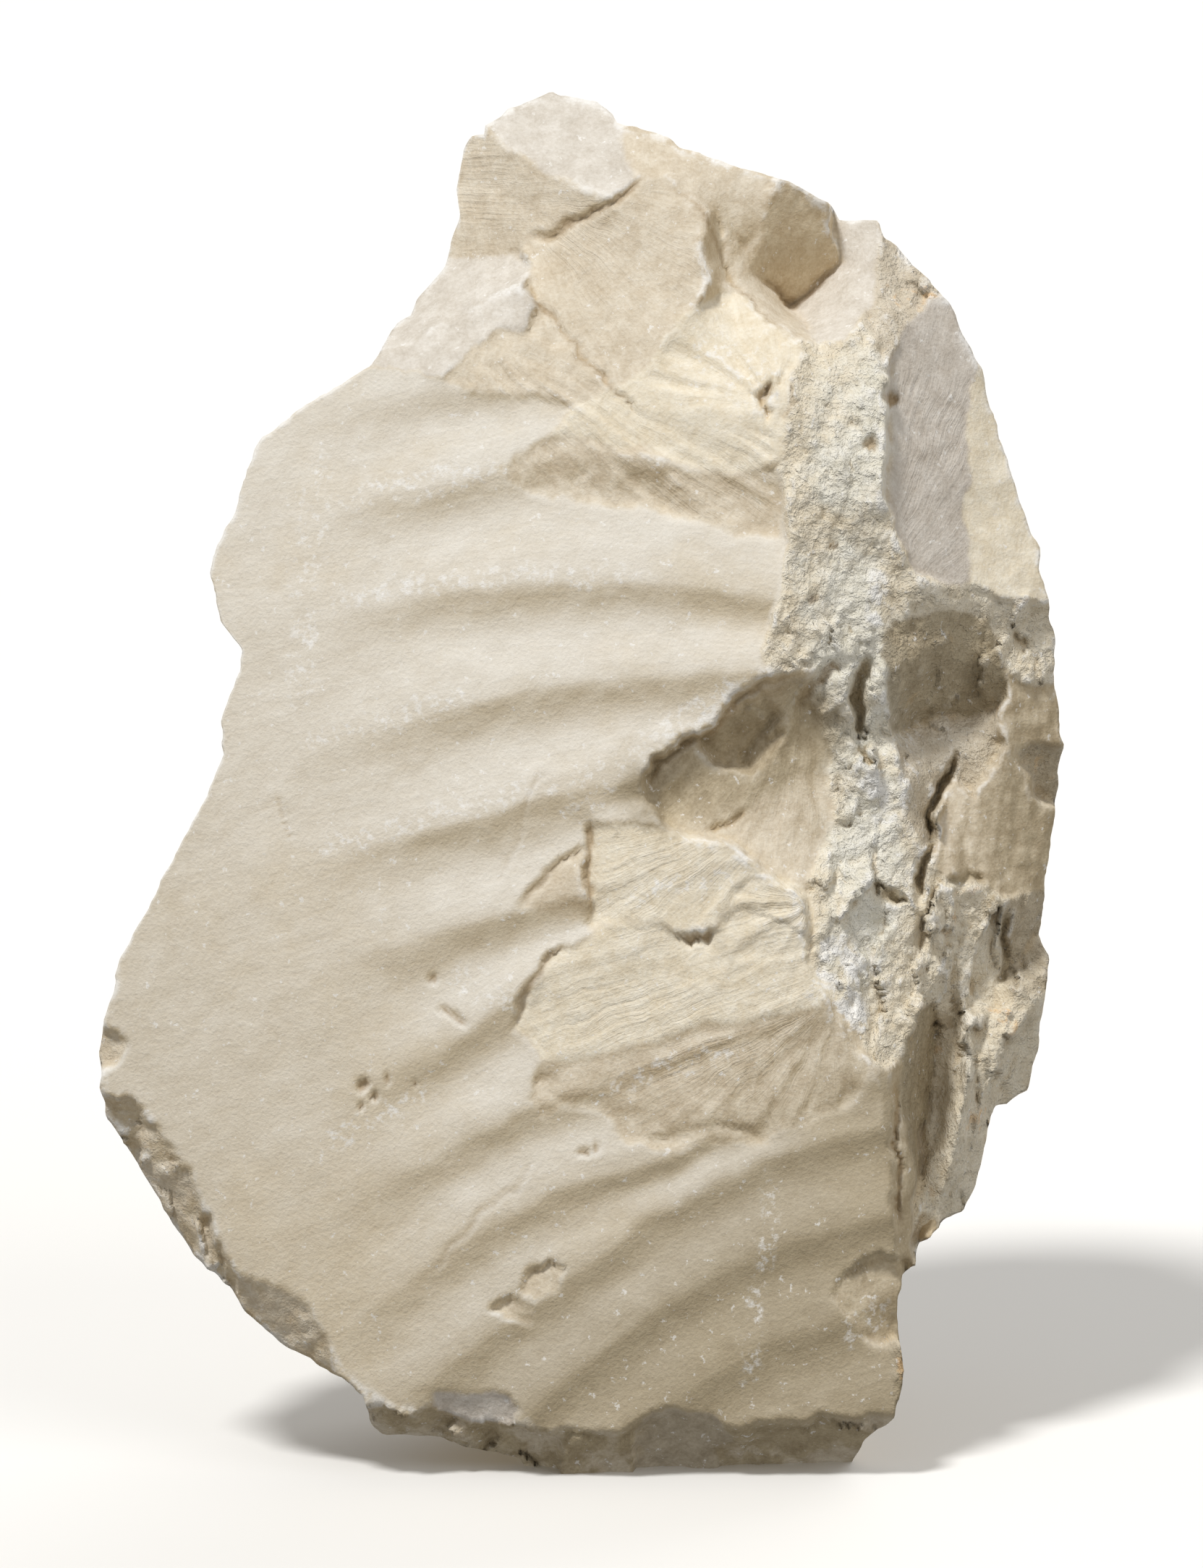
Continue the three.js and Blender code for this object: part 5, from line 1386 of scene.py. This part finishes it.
@dataclass
class ChalkRock:
    """The rock: one closed lump, front and back relief laid over one outline.

    Attributes:
        front: Front relief.
        back: Back relief.
        finish: Surface.
        rings: Rings of the back's mesh from the middle to the rim; the front has twice as many.
        crowding: How much closer the back's rings lie toward the rim, where the wall drops.
        middle: Middle of the rings.
        core: Distance from the middle inside which lumps of the back spread less.
        rim_sway: How far the outline wanders between its corners.
        rim_sway_size: Size of its bends.
        rim_inset: How far it lies inside its corners, to leave room for that.
        painted_light_from: Direction of the painted light: breaks that face it get their lit colours, those
            that face away their painted-shade colours.
        back_painted_light: How much more of the lit colours the back gets.
        back_rough: How rough the back is.
    """

    front: FaceRelief
    back: BackRelief
    finish: ScrapedChalk
    rings: int = 80
    crowding: float = 0.16
    middle: tuple[float, float] = (0.0, 95.0)
    core: float = 40.0
    rim_sway: float = 0.35
    rim_sway_size: float = 3.0
    rim_inset: float = 0.2
    painted_light_from: tuple[float, float, float] = (-0.35, -0.2, 0.91)
    back_painted_light: float = 0.25
    back_rough: float = 0.35

    def stand(self, x: Array, z: Array, h: Array) -> Array:
        """Lean points of the outline plane back and set them on the floor.

        Args:
            x: Positions across.
            z: Positions up the face.
            h: Depths out of the outline plane.

        Returns:
            Positions in the part's frame, in mm, one row each.
        """
        deep = z * math.sin(LEAN) - h * math.cos(LEAN) - ORIGIN_BACK
        high = z * math.cos(LEAN) + h * math.sin(LEAN) - FLOOR_HEIGHT
        return np.stack([x, deep, high], 1)

    def rim(self) -> Array:
        """Points along the outline at even steps.

        Returns:
            Positions across and up, one row each.
        """
        corners = np.array(OUTLINE, float)
        ends = np.vstack([corners, corners[:1]])
        runs = np.concatenate([[0], np.cumsum(np.hypot(*np.diff(ends, axis=0).T))])
        count = 12 * self.rings
        steps = runs[-1] * np.arange(count) / count
        edge = np.stack([np.interp(steps, runs, ends[:, axis]) for axis in (0, 1)], 1)
        size = self.rim_sway_size
        sway = self.rim_sway * fractal(edge[:, 0] / size, edge[:, 1] / size, 6.6, 3)
        toward = edge - np.array(self.middle)
        toward /= np.hypot(*toward.T)[:, None]
        return edge + toward * (sway - self.rim_inset)[:, None]

    @staticmethod
    def disc(rings: int) -> tuple[Array, Array]:
        """Spread rings of points over a disc.

        Args:
            rings: How many rings.

        Returns:
            For each point its turn round the disc, from 0 to 1, and its ring.
        """
        turn = [np.zeros(1)]
        ring = [np.zeros(1, int)]
        for k in range(1, rings + 1):
            turn.append(np.arange(6 * k) / (6 * k))
            ring.append(np.full(6 * k, k))
        return np.concatenate(turn), np.concatenate(ring)

    @staticmethod
    def triangles(rings: int) -> Array:
        """Triangles of a disc, turned to face the front, with those along the rim last.

        Args:
            rings: How many rings.

        Returns:
            Three point numbers in each row; the rim's own triangles start with their two rim points.
        """
        found = []
        for k in range(1, rings + 1):
            start = 1 + 3 * k * (k - 1)
            below = 1 + 3 * (k - 1) * (k - 2) if k > 1 else 0
            size = max(6 * (k - 1), 1)
            side = np.repeat(np.arange(6), k)
            step = np.tile(np.arange(k), 6)
            outer = start + side * k + step
            after = start + (side * k + step + 1) % (6 * k)
            inner = below + (side * (k - 1) + step) % size
            onward = below + (side * (k - 1) + step + 1) % size
            found.append(np.stack([after, onward, inner], 1)[step < k - 1])
            found.append(np.stack([outer, after, inner], 1))
        return np.concatenate(found)

    def spread(self, turn: Array, share: Array, rim: Array) -> tuple[Array, Array, Array]:
        """Place points between the middle and the rim.

        Args:
            turn: Each point's turn round the disc.
            share: Its share of the way out to the rim.
            rim: Points of the rim with their depths.

        Returns:
            Positions across and up, depth of the rim there, and distance in from it.
        """
        place = turn * len(rim)
        low = np.floor(place).astype(int) % len(rim)
        edge = rim[low] + (place - np.floor(place))[:, None] * (rim[(low + 1) % len(rim)] - rim[low])
        out = edge[:, :2] - np.array(self.middle)
        return np.array(self.middle) + share[:, None] * out, edge[:, 2], (1 - share) * np.hypot(*out.T)

    def build(self) -> bpy.types.Object:
        """Build the lump.

        Returns:
            The rock's object.
        """
        rim = self.rim()
        turn, ring = self.disc(2 * self.rings)
        flat = self.spread(turn, ring / (2 * self.rings), np.pad(rim, ((0, 0), (0, 1))))[0]
        x, z = flat.T
        h, zones, strokes = self.front.lay(x, z)
        h = h + self.front.roughness(x, z, h, zones)
        edge = ring == 2 * self.rings
        turn, ring = self.disc(self.rings)
        inner = ring < self.rings
        step = ring[inner] / self.rings
        share = step + self.crowding * np.sin(np.pi * step)
        back = self.behind(*self.spread(turn[inner], share, np.stack([x, z, h], 1)[edge]))
        points = np.vstack([self.stand(x, z, h), back])
        faces = np.vstack([self.triangles(2 * self.rings), self.lining(len(x), int(edge.sum()))])
        mesh = bpy.data.meshes.new("chalk_rock_surface")
        mesh.from_pydata((points * MM).tolist(), [], faces.tolist())
        for zone, amount in zones.items():
            self.record(mesh, zone.value, np.concatenate([np.clip(amount, 0, 1), np.zeros(len(back))]))
        strokes = np.vstack([strokes, np.zeros((len(back), 3))])
        layer = mesh.attributes.new("strokes", "FLOAT_VECTOR", "POINT")
        layer.data.foreach_set("vector", (strokes * (1, 1, 0)).astype(np.float32).ravel())
        self.record(mesh, "comb", strokes[:, 2])
        rough = np.clip(zones[Zone.FLANK] + zones[Zone.CRUMB] + 0.5 * zones[Zone.EDGE], 0, 1)
        self.record(mesh, "rough", np.concatenate([rough, np.full(len(back), self.back_rough)]))
        normals = np.zeros(len(points) * 3)
        mesh.vertex_normals.foreach_get("vector", normals)
        normals = normals.reshape(-1, 3)
        # Painted light: points that face the light get the lit colours, those that face away the painted
        # shade, and the back more of the lit colours
        painted_light = 0.5 + 0.5 * normals @ np.array(self.painted_light_from)
        painted_light[len(x):] += self.back_painted_light
        self.record(mesh, "painted_light", painted_light)
        self.record(mesh, "cavity", self.cavity(points, faces, normals))
        self.trim(mesh)
        mesh.shade_smooth()
        rock = bpy.data.objects.new("chalk_rock_surface", mesh)
        bpy.context.collection.objects.link(rock)
        return rock

    @staticmethod
    def record(mesh: bpy.types.Mesh, name: str, values: Array) -> None:
        """Keep a value at each point of the mesh.

        Args:
            mesh: The mesh.
            name: Name of the values.
            values: One value for each point.
        """
        layer = mesh.attributes.new(name, "FLOAT", "POINT")
        layer.data.foreach_set("value", values.astype(np.float32))

    def lining(self, offset: int, rim: int) -> Array:
        """Triangles of the back, tied to every point of the front's rim.

        Args:
            offset: Number of points in front.
            rim: How many of them lie on the rim.

        Returns:
            Three point numbers in each row.
        """
        faces = self.triangles(self.rings)
        first = 1 + 3 * self.rings * (self.rings - 1)
        number = np.concatenate([np.arange(first) + offset, offset - rim + 2 * np.arange(6 * self.rings)])
        faces = number[faces][:, ::-1]
        border = faces[-6 * self.rings:]
        between = border[:, 2] + 1
        left = np.stack([border[:, 0], border[:, 1], between], 1)
        right = np.stack([border[:, 0], between, border[:, 2]], 1)
        return np.vstack([faces[:-6 * self.rings], left, right])

    def behind(self, flat: Array, rim: Array, inward: Array) -> Array:
        """Points of the back.

        Args:
            flat: Positions across and up of the back's points.
            rim: Depth of the rim nearest to each of those.
            inward: Their distance in from it.

        Returns:
            Positions in the part's frame, in mm, one row each.
        """
        across, up = flat.T
        c = self.back.lay(across, up, rim, inward)
        points = np.stack([across, up, c], 1)
        ease = smooth(0, self.back.rim_ease, inward)
        (large, tall), (small, low) = self.back.chip_sizes
        chipped = tall * chips(points, large, 3) + low * chips(points, small, 8)
        size = self.back.lump_size
        lump = self.back.lump_height * ease * fractal(across / size, up / size, c / size, 2)
        lump = lump + ease * chipped
        away = flat - np.array(self.middle)
        swell = 1 + np.minimum(lump, 0.5 * inward) / np.sqrt((away ** 2).sum(1) + self.core ** 2)
        placed = np.array(self.middle) + swell[:, None] * away
        return self.stand(placed[:, 0], placed[:, 1], c - 0.5 * ease * chipped)

    @staticmethod
    def cavity(points: Array, faces: Array, normals: Array) -> Array:
        """Measure how hollow the surface is at each point.

        Args:
            points: Points of the mesh, in mm.
            faces: Its triangles.
            normals: Direction of the surface at each point.

        Returns:
            0.5 where flat, more in hollows and less on edges.
        """
        ends = np.concatenate([faces[:, [0, 1]], faces[:, [1, 2]], faces[:, [2, 0]]])
        count = np.bincount(ends[:, 0], minlength=len(points))
        level = points.copy()
        total = np.zeros(len(points))
        # Measured against a lightly and a strongly levelled copy, for small and large hollows
        light = 4
        strong = 24
        for turn in range(1, strong + 1):
            mean = [np.bincount(ends[:, 0], level[ends[:, 1], axis], len(points)) for axis in range(3)]
            level = 0.5 * level + 0.5 * np.stack(mean, 1) / count[:, None]
            if turn in (light, strong):
                total += ((level - points) * normals).sum(1)
        return np.clip(0.5 + 0.3 * total, 0, 1)

    @staticmethod
    def trim(mesh: bpy.types.Mesh) -> None:
        """Cut the lump flat where it stands.

        Args:
            mesh: The mesh, changed in place.
        """
        work = bmesh.new()
        work.from_mesh(mesh)
        everything = work.verts[:] + work.edges[:] + work.faces[:]
        cut = bmesh.ops.bisect_plane(
            work, geom=everything, plane_co=(0, 0, 0), plane_no=(0, 0, 1), clear_inner=True,
        )
        border = [item for item in cut["geom_cut"] if isinstance(item, bmesh.types.BMEdge)]
        bmesh.ops.triangle_fill(work, edges=border, use_beauty=True, normal=(0, 0, -1))
        bmesh.ops.recalc_face_normals(work, faces=work.faces)
        work.to_mesh(mesh)
        work.free()

    def dress(self, rock: bpy.types.Object) -> None:
        """Give the rock its surface and tie it to the part.

        Args:
            rock: The rock's object.
        """
        rock.data.materials.append(self.finish.material())
        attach(rock, "root")
        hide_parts("chalk_rock")


@dataclass
class Studio:
    """Floor, lights and camera.

    Attributes:
        paper: Finish of the floor.
        sight: Point of the face plane, in mm, that the camera looks at.
        distance: Camera distance, in m.
        lens: Focal length, in mm.
        film: Height of the camera's frame, in mm.
        floor_reach: How far the floor runs each way, in m.
        ambient: How bright the room is.
    """

    paper: StudioPaper
    sight: tuple[float, float] = (2.15, 93.85)
    distance: float = 1.2
    lens: float = 199.3
    film: float = 36.0
    floor_reach: float = 12.0
    ambient: float = 0.36

    def floor(self) -> bpy.types.Object:
        """Lay the floor.

        Returns:
            The floor's object.
        """
        mesh = bpy.data.meshes.new("studio_floor")
        reach = self.floor_reach
        corners = [(-reach, -reach, 0), (reach, -reach, 0), (reach, reach, 0), (-reach, reach, 0)]
        mesh.from_pydata(corners, [], [(0, 1, 2, 3)])
        mesh.materials.append(self.paper.material())
        made = bpy.data.objects.new("studio_floor", mesh)
        bpy.context.collection.objects.link(made)
        # The photo's rock gets no light from below
        made.visible_diffuse = False
        return made

    @staticmethod
    def light(name: str, left: float, off: float, strength: float, softness: float) -> bpy.types.Object:
        """Shine a soft, even light on the scene.

        Args:
            name: Name of the light.
            left: Its turn to the left of straight up, as the camera sees it, in degrees.
            off: Its angle away from the camera's own direction, in degrees.
            strength: How strong it is, in W/m2.
            softness: How wide it looks from the rock, in degrees.

        Returns:
            The light's object.
        """
        beam = bpy.data.lights.new(name, "SUN")
        beam.energy = strength
        beam.angle = math.radians(softness)
        side = math.sin(math.radians(off))
        up = math.cos(math.radians(left)) * side
        near = math.cos(math.radians(off))
        source = Vector((
            -math.sin(math.radians(left)) * side,
            up * math.sin(LEAN) - near * math.cos(LEAN),
            up * math.cos(LEAN) + near * math.sin(LEAN),
        ))
        made = bpy.data.objects.new(name, beam)
        made.location = source * 2
        made.rotation_euler = (-source).to_track_quat("-Z", "Y").to_euler()
        bpy.context.collection.objects.link(made)
        return made

    def world(self) -> None:
        """Fill the room with even white light."""
        made = bpy.data.worlds.new("studio_room")
        made.use_nodes = True
        made.node_tree.nodes["Background"].inputs["Color"].default_value = linear("#FFFFFF")
        made.node_tree.nodes["Background"].inputs["Strength"].default_value = self.ambient
        bpy.context.scene.world = made

    def camera(self) -> bpy.types.Object:
        """Set the camera square to the leaning face.

        Returns:
            The camera's object.
        """
        across, up = self.sight
        target = Vector((
            across, up * math.sin(LEAN) - ORIGIN_BACK, up * math.cos(LEAN) - FLOOR_HEIGHT,
        )) * MM
        toward = Vector((0, -math.cos(LEAN), math.sin(LEAN)))
        lens = bpy.data.cameras.new("camera")
        lens.sensor_fit = "VERTICAL"
        lens.sensor_height = self.film
        lens.lens = self.lens
        lens.clip_end = 100
        made = bpy.data.objects.new("camera", lens)
        made.location = target + toward * self.distance
        made.rotation_euler = (-toward).to_track_quat("-Z", "Y").to_euler()
        bpy.context.collection.objects.link(made)
        bpy.context.scene.camera = made
        return made

    def build(self) -> None:
        """Set up the floor, the lights and the camera."""
        self.floor()
        self.light("key", left=22, off=56, strength=2.45, softness=10)
        self.light("fill", left=-45, off=50, strength=0.6, softness=40)
        self.light("back", left=-35, off=135, strength=1.1, softness=50)
        self.world()
        self.camera()
        bpy.context.scene.view_settings.view_transform = "Standard"


def main() -> None:
    """Build the rock, dress it and set up the studio."""
    logging.basicConfig(level=logging.INFO, format="%(name)s: %(message)s")
    rock = ChalkRock(FaceRelief(), BackRelief(), ScrapedChalk())
    surface = rock.build()
    rock.dress(surface)
    LOG.info("%s: %d faces", surface.name, len(surface.data.polygons))
    Studio(StudioPaper()).build()
    LOG.info("studio: floor, lights and camera")


if __name__ == "__main__":
    main()
